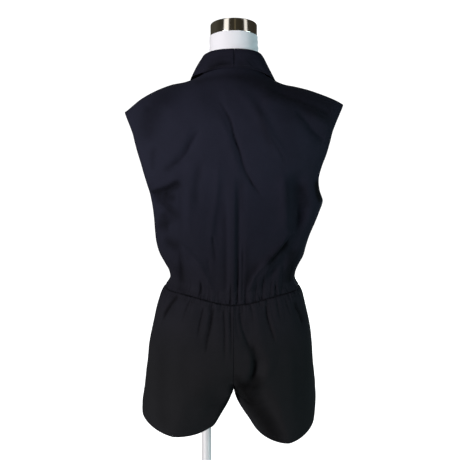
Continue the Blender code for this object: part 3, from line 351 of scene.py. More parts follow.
class ClothSettings(bpy.types.PropertyGroup):
    """Sizes and colours of the black cloth"""
    shell: size("Cloth thickness", "Thickness of one woven panel", 0.0008, 0.0003, 0.0013)
    doubled: size("Collar thickness", "Thickness of the doubled collar", 0.0011, 0.0006, 0.0016)
    crease: size("Crease strength", "Multiplies the depth of the folds", 1.0, 0.0, 2.0,
                 precision=2)
    gather: size("Gather depth", "Depth of the waist gathers", 0.0024, 0.0, 0.004)
    thread: size("Thread spacing", "Distance between two threads", 0.00055, 0.0002, 0.002)
    stitch: size("Stitch length", "Length of one stitch and its gap", 0.003, 0.0015, 0.006)
    bodice_colour: colour_of("Bodice colour", "Dye of the bodice", (0.0108, 0.0115, 0.0195))
    shorts_colour: colour_of("Shorts colour", "Dye of the shorts", (0.0104, 0.0107, 0.0118))
    # painted shade: the collar is the bodice's cloth, its colour made darker where it lies in
    # shade
    collar_colour: colour_of("Collar colour", "Dye of the doubled collar",
                             (0.0084, 0.0084, 0.0142))
    waist_colour: colour_of("Waist colour", "Shade of both cloths at the waist",
                            (0.0105, 0.0104, 0.0148))
    # painted shade: the wrong side is the same cloth in a much darker colour, as it lies in shade
    # inside the romper
    inside_colour: colour_of("Inside colour", "Dye of the cloth's wrong side",
                             (0.0030, 0.0031, 0.0038))
    thread_colour: colour_of("Thread colour", "Colour of the sewing thread",
                             (0.007, 0.007, 0.010))


class FormSettings(bpy.types.PropertyGroup):
    """Finishes of the dress form and its stand"""
    jersey_colour: colour_of("Jersey colour", "Colour of the form's knitted cover",
                             (0.62, 0.605, 0.98))
    chrome_colour: colour_of("Cap colour", "Colour of the brushed neck cap", (0.80, 0.79, 0.77))
    enamel_colour: colour_of("Stand colour", "Colour of the enamelled pole and base",
                             (0.90, 0.90, 0.90))


class StageSettings(bpy.types.PropertyGroup):
    """Strength of the studio's lights"""
    key: size("Key light", "Power of the large light at the left", 54.0, 0.0, 500.0, unit="POWER")
    fill: size("Fill light", "Power of the light at the right", 31.0, 0.0, 500.0, unit="POWER")
    back: size("Back light", "Power of the light on the far side", 18.0, 0.0, 500.0, unit="POWER")
    room: size("Room light", "Brightness of the soft light all round", 0.04, 0.0, 4.0,
               precision=2)


# ---- reading a solid -------------------------------------------------------------------------
def merged_copy(node):
    """A CAD node's mesh as a bmesh of its own, with its loose triangles joined."""
    shape = bmesh.new()
    shape.from_mesh(frame["nodes"][node].data)
    bmesh.ops.remove_doubles(shape, verts=shape.verts, dist=2e-6)
    shape.normal_update()
    return shape


def steps_from(starts, neighbours):
    """How many steps from the starts everything is that they lead to."""
    away = dict.fromkeys(starts, 0)
    queue = list(away)
    for item in queue:                  # the queue grows as it is read
        for other in neighbours(item):
            if other not in away:
                away[other] = away[item] + 1
                queue.append(other)
    return away


def one_side_of(shape, count):
    """The faces of one side of a thin wall: a smooth patch with this many faces.  The sharpest
    edge inside a patch is tried at some angles in turn."""
    for limit in map(math.radians, (50, 60, 40, 70, 30, 75, 80)):
        def over_smooth_edges(face):
            return [other for edge in face.edges if edge.calc_face_angle(0) <= limit
                    for other in edge.link_faces]
        seen = set()
        for face in shape.faces:
            if face not in seen:
                patch = steps_from([face], over_smooth_edges)
                if len(patch) == count:
                    return set(patch)
                seen.update(patch)
    raise RuntimeError("no side of the wall has the expected number of faces")


def outer_grid(node):
    """The outer side of a CAD wall as an array (rows, columns, 3), and its outward sign."""
    rows, columns, up, across = WALLS[node]
    shape = merged_copy(node)
    side = one_side_of(shape, 2 * (rows - 1) * (columns - 1))
    used = {vertex for face in side for vertex in face.verts}
    far = {face for face in shape.faces if used.isdisjoint(face.verts)}
    outer = max(side, far, key=lambda faces: sum(face.calc_area() for face in faces))
    links, border = {}, {}
    for edge in {edge for face in outer for edge in face.edges}:
        ends = tuple(edge.verts)
        for one, other in (ends, ends[::-1]):
            links.setdefault(one, set()).add(other)
            if sum(face in outer for face in edge.link_faces) == 1:
                border.setdefault(one, set()).add(other)
    loop = [next(iter(border))]
    while True:
        ahead = [vertex for vertex in border[loop[-1]] if vertex not in loop[-2:]]
        if not ahead or (len(loop) > 2 and loop[0] in ahead):
            break
        loop.append(ahead[0])
    for turned in (walk[start:] + walk[:start] for walk in (loop, loop[::-1])
                   for start in range(len(loop))):
        corners = (turned[0], turned[columns - 1], turned[columns + rows - 2])
        if max(len(links[corner]) for corner in corners) > 3:
            continue
        row = steps_from(turned[:columns], links.get)
        column = steps_from([turned[0]] + turned[:-rows:-1], links.get)
        place = {(row[vertex], column[vertex]): vertex for vertex in links}
        if len(place) == rows * columns and max(place) == (rows - 1, columns - 1):
            break
    else:
        raise RuntimeError(f"the outer side of {node} isn't a grid")
    both = np.array([[(*place[r, c].co, *place[r, c].normal) for c in range(columns)]
                     for r in range(rows)])
    shape.free()
    if (both[-1] - both[0])[:, :3].sum(axis=0) @ up < 0:
        both = both[::-1]
    if (both[:, -1] - both[:, 0])[:, :3].sum(axis=0) @ across < 0:
        both = both[:, ::-1]
    grid = np.ascontiguousarray(both[..., :3])
    return grid, 1.0 if (surface_normals(grid) * both[..., 3:]).sum() > 0 else -1.0


# ---- surfaces --------------------------------------------------------------------------------
def unit(vectors):
    """The vectors made one long."""
    return vectors / np.maximum(np.linalg.norm(vectors, axis=-1, keepdims=True), 1e-12)


def surface_normals(grid):
    """Unit normals of a grid of points, from its rows and columns."""
    return unit(np.cross(np.gradient(grid, axis=1), np.gradient(grid, axis=0)))


def fade(values, start, end):
    """0 at start and 1 at end, smooth between them."""
    s = np.clip((values - start) / (end - start), 0, 1)
    return s * s * (3 - 2 * s)


def between(values, start, full, ebb, end):
    """1 from full to ebb, 0 before start and after end, smooth between them."""
    return fade(values, start, full) * (1 - fade(values, ebb, end))


def nearest(knots, knot):
    """The fine line that lies on a line of the CAD grid."""
    return int(np.abs(knots - knot).argmin())


def refined(grid, pitch, breaks=None):
    """A finer grid along axis 0, on smooth curves through the points.  breaks gives, for a
    line of points, how sharply each curve may turn there: 1 is a corner."""
    lengths = np.linalg.norm(np.diff(grid, axis=0), axis=2).mean(axis=1)
    widths = lengths[:, None, None]
    slope = np.diff(grid, axis=0) / widths
    tangent = np.empty_like(grid)
    tangent[1:-1] = ((widths[1:] * slope[:-1] + widths[:-1] * slope[1:])
                     / (widths[1:] + widths[:-1]))
    tangent[0] = 1.5 * slope[0] - 0.5 * tangent[1]
    tangent[-1] = 1.5 * slope[-1] - 0.5 * tangent[-2]
    arrive, leave = tangent.copy(), tangent.copy()
    for line, sharp in (breaks or {}).items():
        share = np.asarray(sharp)[:, None]
        arrive[line] = (1 - share) * tangent[line] + share * slope[line - 1]
        leave[line] = (1 - share) * tangent[line] + share * slope[line]
    parts, knots = [], []
    for i, width in enumerate(lengths):
        count = max(1, int(round(width / pitch)))
        for step in range(count):
            s = step / count
            knots.append(i + s)
            parts.append((2 * s ** 3 - 3 * s ** 2 + 1) * grid[i]
                         + (s ** 3 - 2 * s ** 2 + s) * width * leave[i]
                         + (3 * s ** 2 - 2 * s ** 3) * grid[i + 1]
                         + (s ** 3 - s ** 2) * width * arrive[i + 1])
    return np.array(parts + [grid[-1]]), np.array(knots + [len(grid) - 1.0])


def fine_grid(grid, across_pitch, up_pitch, breaks, reach=1.5):
    """A CAD grid refined both ways.  breaks gives the columns at which a row has a corner,
    which fades out over reach columns."""
    wide, across = refined(grid.transpose(1, 0, 2), across_pitch)
    columns = np.arange(grid.shape[1])
    held = {}
    for row, where in breaks.items():
        near = np.min([np.abs(columns - column) for column in where], axis=0)
        held[row] = np.interp(across, columns, np.clip(1 - near / reach, 0, 1))
    fine, up = refined(wide.transpose(1, 0, 2), up_pitch, held)
    return fine, up, across


def eased(grid, column, low, spread):
    """Irons out the ridge that a corner of the outline leaves in the rows from low to the top,
    over a band that is spread columns wide on each side."""
    rows, columns = grid.shape[:2]
    bell = np.exp(-(np.arange(-3 * spread, 3 * spread + 1) / spread) ** 2)
    bell /= bell.sum()
    padded = np.pad(grid, ((0, 0), (3 * spread, 3 * spread), (0, 0)), mode="edge")
    smooth = sum(share * padded[:, k:k + columns] for k, share in enumerate(bell))
    r, c, high = np.arange(rows)[:, None], np.arange(columns)[None, :], rows - 1
    weight = 1 - fade(np.abs(c - column), spread, 4.0 * spread)
    weight = weight * between(r, low, low + (high - low) * 0.4, high - 2, high)
    return grid + (smooth - grid) * weight[..., None]


def arc_lengths(points, axis):
    """Distance along a line or a surface from its first point, along one axis."""
    steps = np.linalg.norm(np.diff(points, axis=axis), axis=-1)
    zero = np.zeros_like(steps.take([0], axis=axis))
    return np.concatenate([zero, np.cumsum(steps, axis=axis)], axis=axis)


def distance_to(points, line, batch=4000):
    """Distance from each point of a grid to the nearest point of a line."""
    flat = points.reshape(-1, 3)
    found = []
    for start in range(0, len(flat), batch):
        gap = ((flat[start:start + batch, None, :] - line[None, :, :]) ** 2).sum(axis=2)
        found.append(np.sqrt(gap.min(axis=1)))
    return np.concatenate(found).reshape(points.shape[:2])


def fold_lift(x, z, drawn, strength, pitch=3.0):
    """How far the folds lift the cloth at points seen from behind, in metres."""
    lift = np.zeros_like(x)
    for fold in drawn:
        curve = refined(fold.path[:, None], pitch)[0][:, 0]
        share = arc_lengths(curve, 0)
        share = share / share[-1]
        low = curve.min(axis=0) - 3.2 * fold.width
        high = curve.max(axis=0) + 3.2 * fold.width
        near = (x > low[0]) & (x < high[0]) & (z > low[1]) & (z < high[1])
        if not near.any():
            continue
        gap = np.hypot(x[near][:, None] - curve[:, 0], z[near][:, None] - curve[:, 1])
        ends = fade(share, -0.02, fold.come + 0.001) * (1 - fade(share, 0.999 - fold.go, 1.02))
        far = gap.min(axis=1) / fold.width
        lift[near] += fold.depth * ends[gap.argmin(axis=1)] * np.exp(-far ** fold.power)
    return lift * MM * strength


def shaded(x, z, drawn, shades, gathers=0.0):
    """The painted shade: the light lost in the narrow creases, along the shades and between the
    gathers, 0 to 1.
    """
    narrow = [fold for fold in drawn if fold.depth < 0 and fold.width < 3]
    in_creases = np.clip(-fold_lift(x, z, narrow, 1.0) / 0.007, 0, 0.6)
    in_gathers = np.clip(-gathers / 0.014, 0, 0.3)
    return np.clip(in_creases + fold_lift(x, z, shades, 1.0) / MM + in_gathers, 0, 1)


def gather_lift(around, away, height, seed, pitch, reach):
    """Uneven gathers that run out of a seam: around is the distance along it, away from it."""
    rng = random.Random(seed)
    lift = np.zeros_like(around)
    place = float(around.min()) + pitch * rng.uniform(0.2, 0.8)
    end = float(around.max())
    while place < end:
        width = pitch * rng.uniform(0.26, 0.46)
        length = reach * rng.choice((0.35, 0.5, 0.7, 1.0, 1.5)) * rng.uniform(0.8, 1.2)
        depth = height * rng.uniform(0.45, 1.15)
        slant = rng.uniform(-0.10, 0.10)
        spread = width * (1 + 0.9 * away / length)
        across = (around - place - slant * away) / spread
        lift -= depth * np.exp(-across ** 2) * np.exp(-(away / length) ** 1.6)
        place += pitch * rng.uniform(0.6, 1.7)
    return lift


@cache
def form_tree():
    """The form's own shape, which the cloth keeps off."""
    shape = merged_copy("form_body")
    tree = BVHTree.FromBMesh(shape)
    shape.free()
    return tree


def kept_off_the_form(panel, lift, cloth, reach=0.02):
    """The lift with its troughs made shallower where they would touch the form."""
    near = form_tree().find_nearest
    room = np.array([near(point, reach)[3] or reach
                     for point in panel.points.reshape(-1, 3).tolist()]).reshape(lift.shape)
    room = room + (GIVE - AIR) * between(panel.points[..., 2], *COVERED) - cloth.shell - AIR
    return np.maximum(lift, -np.maximum(room, 0))


# ---- making meshes ---------------------------------------------------------------------------
def choose(*pieces):
    """Only these pieces selected and the first one active, so that an operator acts on them."""
    for thing in bpy.context.view_layer.objects:
        thing.select_set(thing in pieces)
    bpy.context.view_layer.objects.active = pieces[0] if pieces else None


def edited(piece, *steps):
    """Runs mesh operators on the whole of one piece, then turns its faces outwards."""
    choose(piece)
    bpy.ops.object.mode_set(mode="EDIT")
    for operator, values in (*steps, (bpy.ops.mesh.normals_make_consistent, {"inside": False})):
        bpy.ops.mesh.select_all(action="SELECT")
        operator(**values)
    bpy.ops.object.mode_set(mode="OBJECT")


def put_in_scene(name, data):
    """A new object in the scene."""
    thing = bpy.data.objects.new(name, data)
    bpy.context.scene.collection.objects.link(thing)
    return thing


def mesh_piece(name, points, faces, material, uvs=None, worn=None):
    """An object from points and faces, with its UV map and its painted shade stored on the points.
    """
    mesh = bpy.data.meshes.new(name)
    mesh.from_pydata(points.reshape(-1, 3).tolist(), [], faces)
    if uvs is not None:
        corners = np.empty(len(mesh.loops), dtype=np.int32)
        mesh.loops.foreach_get("vertex_index", corners)
        values = uvs.reshape(-1, 2)[corners].astype(np.float32)
        mesh.uv_layers.new(name="cloth").data.foreach_set("uv", values.ravel())
    if worn is not None:
        attribute = mesh.attributes.new("worn", "FLOAT", "POINT")
        attribute.data.foreach_set("value", worn.ravel().astype(np.float32))
    mesh.materials.append(material)
    mesh.polygons.foreach_set("use_smooth", [True] * len(mesh.polygons))
    mesh.update()
    return put_in_scene(name, mesh)


def grid_faces(rows, columns, flip=False, closed=False):
    """Quads of a grid; closed joins its last column to its first."""
    r, c = np.meshgrid(np.arange(rows - 1), np.arange(columns if closed else columns - 1),
                       indexing="ij")
    low, high, ahead = r * columns, (r + 1) * columns, (c + 1) % columns
    quads = np.stack([low + c, low + ahead, high + ahead, high + c], axis=2).reshape(-1, 4)
    return (quads[:, ::-1] if flip else quads).tolist()


def thickened(piece, thickness, inside_slot=0):
    """Gives a surface a wall of this thickness behind it."""
    choose(piece)
    modifier = piece.modifiers.new("Solidify", "SOLIDIFY")
    modifier.thickness, modifier.offset = thickness, -1.0
    modifier.material_offset = inside_slot
    bpy.ops.object.modifier_apply(modifier=modifier.name)


def belongs(piece, node=None):
    """Hides the solid that a piece stands for, if one is given, and attaches the piece to the root
    body.
    """
    if node:
        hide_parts(node)
    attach(piece, "root")


class Panel:
    """One panel's outer surface: its points, its normals and the CAD lines that it lies on."""

    def __init__(self, node, across_pitch, up_pitch, breaks):
        self.node = node
        grid, self.sign = outer_grid(node)
        grid, self.up, self.across = fine_grid(grid, across_pitch, up_pitch, breaks)
        self.take(grid)

    def take(self, points):
        """Gives the panel this surface."""
        self.points = points
        self.normals = surface_normals(points) * self.sign

    def border(self, name, low=0, high=LAST):
        """Points, normals and inward directions along one border, between two CAD lines."""
        points, normals, knots = self.points, self.normals, self.across
        if name.endswith("column"):
            points, normals, knots = points.swapaxes(0, 1), normals.swapaxes(0, 1), self.up
        part = slice(nearest(knots, low), nearest(knots, high) + 1)
        edge, inner = (0, 1) if name.startswith("first") else (-1, -2)
        line = points[edge, part]
        return line, normals[edge, part], unit(points[inner, part] - line)

    def line(self, *border):
        """The points of one border."""
        return self.border(*border)[0]

    def away(self, *lines):
        """Distance from each point to the nearest of some lines."""
        return np.min([distance_to(self.points, line) for line in lines], axis=0)

    def drawn(self, flip=1):
        """Each point's x and z in millimetres, as the folds are drawn."""
        return self.points[..., 0] * 1000 * flip, self.points[..., 2] * 1000

    def gathered(self, away, height, sorts, other_seed=0):
        """The lift of the gathers that run out of the waist, from the distance to it."""
        around = np.broadcast_to(arc_lengths(self.points, 1)[:1], away.shape)
        return sum(gather_lift(around, away, height * share, seed + other_seed, pitch, reach)
                   for share, seed, pitch, reach in sorts)

    def sewn(self, lift, rolls, worn, material, thickness, **distances):
        """Lifts the surface, rolls its borders inwards and makes the shell of cloth.  rolls holds
        lists of borders with their roll, worn the share of the light that is lost, as painted
        shade."""
        points = self.points + self.normals * lift[..., None]
        for lines, (depth, reach) in rolls:
            for line in lines:
                roll = depth * (1 - fade(distance_to(points, line), 0, reach))
                points = points - self.normals * roll[..., None]
        self.take(points)
        self.distances = distances
        PANELS[self.node] = self
        rows, columns = points.shape[:2]
        across, along = arc_lengths(points, 1), arc_lengths(points, 0)
        middle = slice(columns // 2, columns // 2 + 1)
        uvs = np.stack([across - across[:, middle],
                        np.broadcast_to(along[:, middle], along.shape)], axis=2)
        piece = mesh_piece(self.node + "_cloth", points,
                           grid_faces(rows, columns, self.sign < 0), material, uvs, worn)
        # the wrong side, in its darker colour: a painted shade
        piece.data.materials.append(black_weave("inside", SHORTS_DYE_AND_LIGHT, evenly=True))
        thickened(piece, thickness, 1)
        belongs(piece, self.node)
        return piece


def stitch_groove(field, away, depth=0.0003, width=0.0011):
    """The shallow trough in which a line of stitches lies."""
    return -depth * np.exp(-((away - STITCHED[field]) / width) ** 2)


# ---- materials -------------------------------------------------------------------------------
class Nodes:
    """The node tree of a material or a world, with short ways to add and join its nodes."""

    def __init__(self, owner):
        owner.use_nodes = True
        self.owner = owner
        self.tree = owner.node_tree

    def fill(self, node, inputs):
        """Values or sockets on a node's inputs, by name, or by number as n0, n1."""
        for key, value in inputs.items():
            socket = node.inputs[int(key[1:]) if key[1:].isdigit() else key.replace("_", " ")]
            if isinstance(value, bpy.types.NodeSocket):
                self.tree.links.new(value, socket)
            else:
                socket.default_value = value

    def add(self, kind, **values):
        """A node with its settings and inputs."""
        node = self.tree.nodes.new("ShaderNode" + kind)
        for key in [key for key in values if hasattr(node, key)]:
            setattr(node, key, values.pop(key))
        self.fill(node, values)
        return node

    def math(self, operation, first, second=0.5):
        """The result of one sum on two values or sockets."""
        return self.add("Math", operation=operation, n0=first, n1=second).outputs[0]

    def blend(self, first, share, second, other_share):
        """Two values added in these shares."""
        return self.math("ADD", self.math("MULTIPLY", first, share),
                         self.math("MULTIPLY", second, other_share))

    def threads(self, way, spacing, wave="SINE"):
        """A wave that crosses zero at every thread."""
        return self.math(wave, self.math("MULTIPLY", way, math.pi / spacing))

    def noise(self, place, scale, detail, roughness=0.5):
        """Cloudy noise; scale is one number, or three to stretch it."""
        if not isinstance(scale, float):
            place, scale = self.add("Mapping", Vector=place, Scale=scale).outputs[0], 1.0
        return self.add("TexNoise", Vector=place, Scale=scale, Detail=detail,
                        Roughness=roughness).outputs["Fac"]

    def bump(self, strength, distance, height):
        """A normal with this relief."""
        return self.add("Bump", Strength=strength, Distance=distance, Height=height).outputs[0]

    def ramp(self, factor, *stops):
        """A colour by a factor, from stops of position and colour."""
        node = self.add("ValToRGB", Fac=factor)
        elements = node.color_ramp.elements
        while len(elements) < len(stops):
            elements.new(0.5)
        for element, (position, _) in zip(elements, stops):
            element.position = position
        for element, (_, colour) in zip(elements, stops):
            element.color = (*colour, 1)
        return node.outputs["Color"]

    def place(self):
        """The point on the object."""
        return self.add("TexCoord").outputs["Object"]

    def cloth(self):
        """The UV map, and its ways across and along the cloth."""
        uv = self.add("UVMap", uv_map="cloth").outputs["UV"]
        split = self.add("SeparateXYZ", Vector=uv).outputs
        return uv, split["X"], split["Y"]

    def shade(self, **inputs):
        """Values or sockets on the shader; gives the material."""
        self.fill(self.tree.nodes["Principled BSDF"], inputs)
        return self.owner


def new_material(name):
    """The nodes of a new material."""
    return Nodes(bpy.data.materials.new(name))


def material_named(make, *values):
    """The material that a function makes under its own name, made once."""
    return bpy.data.materials.get(make.__name__) or make(*values)


def scaled(colour, share):
    """A colour made lighter or darker."""
    return tuple(min(1.0, channel * share) for channel in colour)


def black_weave(part, dyed_and_lit, evenly=False):
    """The black plain weave of one part, made once: crossing threads, slubs, an uneven dye, a
    painted light by height and a painted shade from the worn attribute.  dyed_and_lit gives,
    for some heights, the share of the part's own colour over the waist's and a strength, the
    painted light; evenly leaves the waist's colour out."""
    name = "black_weave_" + part
    if name in bpy.data.materials:
        return bpy.data.materials[name]
    cloth = bpy.context.scene.romper_cloth
    colour = tuple(getattr(cloth, part + "_colour"))
    waist_colour = colour if evenly else tuple(cloth.waist_colour)
    n = new_material(name)
    uv, across, along = n.cloth()
    warp, weft = n.threads(across, cloth.thread), n.threads(along, cloth.thread)
    over = n.math("GREATER_THAN", n.math("MULTIPLY", warp, weft), 0.0)
    weave = n.add("Mix", data_type="FLOAT", Factor=over, n2=n.math("ABSOLUTE", warp),
                  n3=n.math("ABSOLUTE", weft)).outputs[0]
    slubs = n.math("ADD", n.noise(uv, (900, 60, 1), 3.0, 0.6), n.noise(uv, (60, 900, 1), 3.0, 0.6))
    place = n.place()
    tone = n.blend(slubs, 0.25, n.noise(place, 9.0, 4.0, 0.55), 0.5)
    # painted light: the dye's colour made brighter or darker by height
    dye_and_light = n.ramp(n.add("SeparateXYZ", Vector=place).outputs["Z"],
                   *((level, [(share * own + (1 - share) * waist) * strength
                              for own, waist in zip(colour, waist_colour)])
                     for level, share, strength in dyed_and_lit))
    shade = n.add("MapRange", Value=tone, From_Min=0.25, From_Max=0.75, To_Min=0.78, To_Max=1.24)
    base = n.add("VectorMath", operation="SCALE", n0=dye_and_light, Scale=shade.outputs[0]).outputs[0]
    # painted shade: the colour is mixed towards a near-black copy of the dye by the worn
    # attribute, made patchy by a noise
    shade_patchiness = n.math("ADD", n.math("MULTIPLY", n.noise(place, 160.0, 2.0), 0.4), 0.8)
    shade_share = n.math("MULTIPLY", n.add("Attribute", attribute_name="worn").outputs["Fac"], shade_patchiness)
    edge = n.add("Mix", data_type="RGBA", Factor=shade_share, n6=base, n7=(*scaled(colour, 0.12), 1))
    return n.shade(Base_Color=edge.outputs[2], Roughness=0.86,
                   Normal=n.bump(0.35, 0.0002, n.blend(weave, 0.6, slubs, 0.5)),
                   Specular_IOR_Level=0.06, Sheen_Weight=0.01, Sheen_Roughness=0.45,
                   Sheen_Tint=(0.75, 0.80, 1.0, 1.0))


def sewing_thread(colour):
    """Twisted black thread with a faint gloss."""
    n = new_material("sewing_thread")
    place = n.place()
    twist = n.add("TexWave", Vector=place, Scale=900.0, Distortion=1.0,
                  bands_direction="DIAGONAL").outputs["Fac"]
    tone = n.blend(twist, 0.6, n.noise(place, 1500.0, 2.0), 0.4)
    return n.shade(Base_Color=n.ramp(tone, (0, scaled(colour, 0.8)), (1, scaled(colour, 1.5))),
                   Roughness=0.55, Normal=n.bump(0.4, 0.0001, tone), Specular_IOR_Level=0.15)


def white_jersey(colour):
    """Fine white knit with ribs of loops, faint creasing and a soft nap."""
    n = new_material("white_jersey")
    _, across, along = n.cloth()
    rib = n.math("ABSOLUTE", n.threads(across, 0.0011))
    bent = n.math("ADD", along, n.math("MULTIPLY", rib, 0.0006))
    knit = n.blend(rib, 0.6, n.math("ABSOLUTE", n.threads(bent, 0.0009)), 0.4)
    cloud = n.noise(n.place(), 14.0, 5.0, 0.6)
    dye = n.ramp(n.blend(knit, 0.35, cloud, 0.65),
                 (0.2, scaled(colour, 0.93)), (0.8, scaled(colour, 1.04)))
    return n.shade(Base_Color=dye, Roughness=0.9, Specular_IOR_Level=0.2, Sheen_Weight=0.1,
                   Normal=n.bump(0.35, 0.0004, n.math("ADD", knit, cloud)))


def brushed_chrome(colour):
    """Chrome brushed round the cap, with fine streaks and soft handling marks."""
    n = new_material("brushed_chrome")
    place = n.place()
    streaks = n.noise(place, (900, 900, 14), 3.0, 0.7)
    marks = n.noise(place, 70.0, 4.0, 0.6)
    return n.shade(Base_Color=n.ramp(marks, (0.3, scaled(colour, 0.86)), (0.7, colour)),
                   Roughness=n.math("ADD", n.blend(streaks, 0.10, marks, 0.10), 0.08),
                   Metallic=1.0, Normal=n.bump(0.12, 0.0001, streaks))


def white_enamel(colour):
    """Baked white enamel with a slight orange peel and faint dust."""
    n = new_material("white_enamel")
    place = n.place()
    dust = n.noise(place, 24.0, 5.0, 0.65)
    return n.shade(Base_Color=n.ramp(dust, (0.3, scaled(colour, 0.97)), (0.7, colour)),
                   Roughness=n.math("ADD", n.math("MULTIPLY", dust, 0.12), 0.3),
                   Normal=n.bump(0.08, 0.0002, n.noise(place, 420.0, 2.0)), Coat_Weight=0.2)


# ---- the pieces ------------------------------------------------------------------------------
def bodice_panel(panel, cloth, material, flip, seams, drawn, gathers, shade, **stitched):
    """One bodice panel, whose folds and gathers run out at its seams and its stitched edges.
    shade holds the folds and the strokes of painted shade that darken it, stitched the distances
    to its edges."""
    waist = panel.line("first_row")
    away = panel.away(waist)
    edge = np.min([panel.away(*seams), *stitched.values()], axis=0)
    gathers = panel.gathered(away, cloth.gather, *gathers)
    x, z = panel.drawn(flip)
    lift = (fold_lift(x, z, drawn, cloth.crease) + gathers) * fade(edge, 0, FLAT)
    lift += sum(stitch_groove(field, gap) for field, gap in stitched.items())
    # painted shade: darker along the seams, the stitched edges and the waist, in the creases,
    # along the shade strokes and between the gathers
    worn = np.maximum(np.exp(-np.minimum(edge, away) / EDGE_SHADE_REACH) * EDGE_SHADE, shaded(x, z, *shade, gathers))
    return panel.sewn(kept_off_the_form(panel, lift, cloth),
                      ((seams, BODICE_ROLL), ([waist], WAIST_ROLL)), worn, material,
                      cloth.shell, **stitched)


def bodice_back(cloth, material):
    """The back: one panel from the waist to the shoulders, creased and gathered."""
    panel = Panel(BACK, *BACK_PITCH, {UNDERARM_ROW: (0, LAST_BACK_COLUMN)})
    for corner in NECK_COLUMNS:
        panel.take(eased(panel.points, nearest(panel.across, corner),
                         nearest(panel.up, NECK_CORNER_ROW), 7))
    columns = ("first_column", "last_column")
    seams = [panel.line("last_row", *NECK_COLUMNS),
             *(panel.line(column, 0, UNDERARM_ROW) for column in columns),
             panel.line("last_row", 0, NECK_COLUMNS[0]), panel.line("last_row", NECK_COLUMNS[1])]
    piece = bodice_panel(
        panel, cloth, material, 1, seams, BACK_FOLDS, (BACK_GATHERS,), (BACK_FOLDS, BACK_SHADES),
        armhole=panel.away(*(panel.line(column, UNDERARM_ROW) for column in columns)))


def bodice_front(side, cloth, material):
    """One wrap front, from the side seam to its free edge."""
    panel = Panel(FRONTS[side], *FRONT_PITCH, {UNDERARM_ROW: (0,)})
    seams = [panel.line("first_column", 0, UNDERARM_ROW), panel.line("last_row")]
    piece = bodice_panel(
        panel, cloth, material, side, seams, FRONT_FOLDS, (FRONT_GATHERS, side), ((), ()),
        armhole=panel.away(panel.line("first_column", UNDERARM_ROW)),
        wrap=panel.away(panel.line("last_column")))


def collar(side, cloth, material):
    """Half of the fold-over collar, from the centre back seam to its front end."""
    panel = Panel(COLLARS[side], *COLLAR_PITCH, {})
    back_seam, foot = panel.line("first_row"), panel.line("first_column")
    free = panel.away(panel.line("last_column"), panel.line("last_row"))
    edge = np.minimum(free, panel.away(back_seam))
    x, z = panel.drawn()
    lift = fold_lift(x, z, COLLAR_FOLDS, cloth.crease) * fade(edge, 0, 0.008)
    lift += stitch_groove("free", free)
    settled = fade(-panel.points[..., 1], 0.040, 0.075)     # towards the front, where it lies flat
    lift -= (0.0004 + 0.0016 * settled) * (1 - fade(free, 0, 0.012))
    # painted shade: darker along the collar's edges, in its creases and along its shade strokes
    worn = np.maximum(np.exp(-edge / EDGE_SHADE_REACH) * COLLAR_EDGE_SHADE,
                      shaded(x, z, COLLAR_FOLDS, COLLAR_SHADES))
    piece = panel.sewn(lift, (([back_seam, foot], COLLAR_ROLL),), worn, material, cloth.doubled,
                       free=free)


def shorts_panel(side, face, cloth, material):
    """One quarter of the shorts: gathered into the waist seam, hemmed at the leg."""
    panel = Panel(LEGS[side, face], *SHORTS_PITCH, {CROTCH_ROW: (LAST_LEG_COLUMN,)})
    waist, side_seam = panel.line("first_row"), panel.line("first_column")
    inner = panel.line("last_column")
    away, below = panel.away(waist), panel.away(panel.line("last_row"))
    seam = panel.away(side_seam, inner)
    gathers = panel.gathered(away, cloth.gather, SHORTS_GATHERS, side + 2 * face)
    width, flip, drawn, shades = (0.31, side, SHORTS_FRONT_FOLDS, ())
    if face < 0:
        width, flip, drawn, shades = (0.32, 1, SHORTS_BACK_FOLDS, SHORTS_SHADES)
    x, z = panel.drawn(flip)
    lift = fold_lift(x, z, drawn, cloth.crease) + gathers
    lift *= fade(seam, 0, 0.006) * fade(below, 0.004, 0.016)
    lift += stitch_groove("waist", away, 0.0004, 0.0012)
    thick, full, end = HEM
    lift += thick * (1 - fade(below, full, end)) + stitch_groove("hem", below)
    lift = kept_off_the_form(panel, lift, cloth)
    # painted shade: darker along the seams, the waist and the hem, in the creases, along the shade
    # strokes and between the gathers
    worn = np.maximum(np.exp(-np.min([seam + 0.001, away, below], axis=0) / EDGE_SHADE_REACH) * EDGE_SHADE,
                      shaded(x, z, drawn, shades, gathers))
    rolls = (([side_seam], SIDE_ROLL), ([inner], INSEAM_ROLL), ([waist], SHORTS_WAIST_ROLL))
    piece = panel.sewn(lift, rolls, worn, material, cloth.shell, waist=away, hem=below)


def read_off(at, lengths, values):
    """The values of a line at some distances along it."""
    return np.stack([np.interp(at, lengths, column) for column in values.T], axis=1)


def seam_tape(edge_a, edge_b, material, depth=0.0011, reach=0.004, thickness=0.0004):
    """The seam allowance behind a seam: a strip under both edges, so that no gap shows."""
    count = max(len(edge_a[0]), len(edge_b[0]))
    sides = []
    for edge in (edge_a, edge_b):
        lengths = arc_lengths(edge[0], 0)
        at = np.linspace(0, lengths[-1], count)
        sides.append([read_off(at, lengths, values) for values in edge])
    (a, na, ia), (b, nb, ib) = sides
    if np.linalg.norm(a[0] - b[0]) > np.linalg.norm(a[0] - b[-1]):
        b, nb, ib = b[::-1], nb[::-1], ib[::-1]
    out = (na + nb) / 2
    grid = np.stack([a + ia * reach - na * depth, (a + b) / 2 - out * depth,
                     b + ib * reach - nb * depth], axis=1)
    flip = float((surface_normals(grid) * out[:, None]).sum()) < 0
    tape = mesh_piece("seam_tape", grid, grid_faces(count, 3, flip), material,
                      np.zeros((count * 3, 2)))
    thickened(tape, thickness)
    return tape


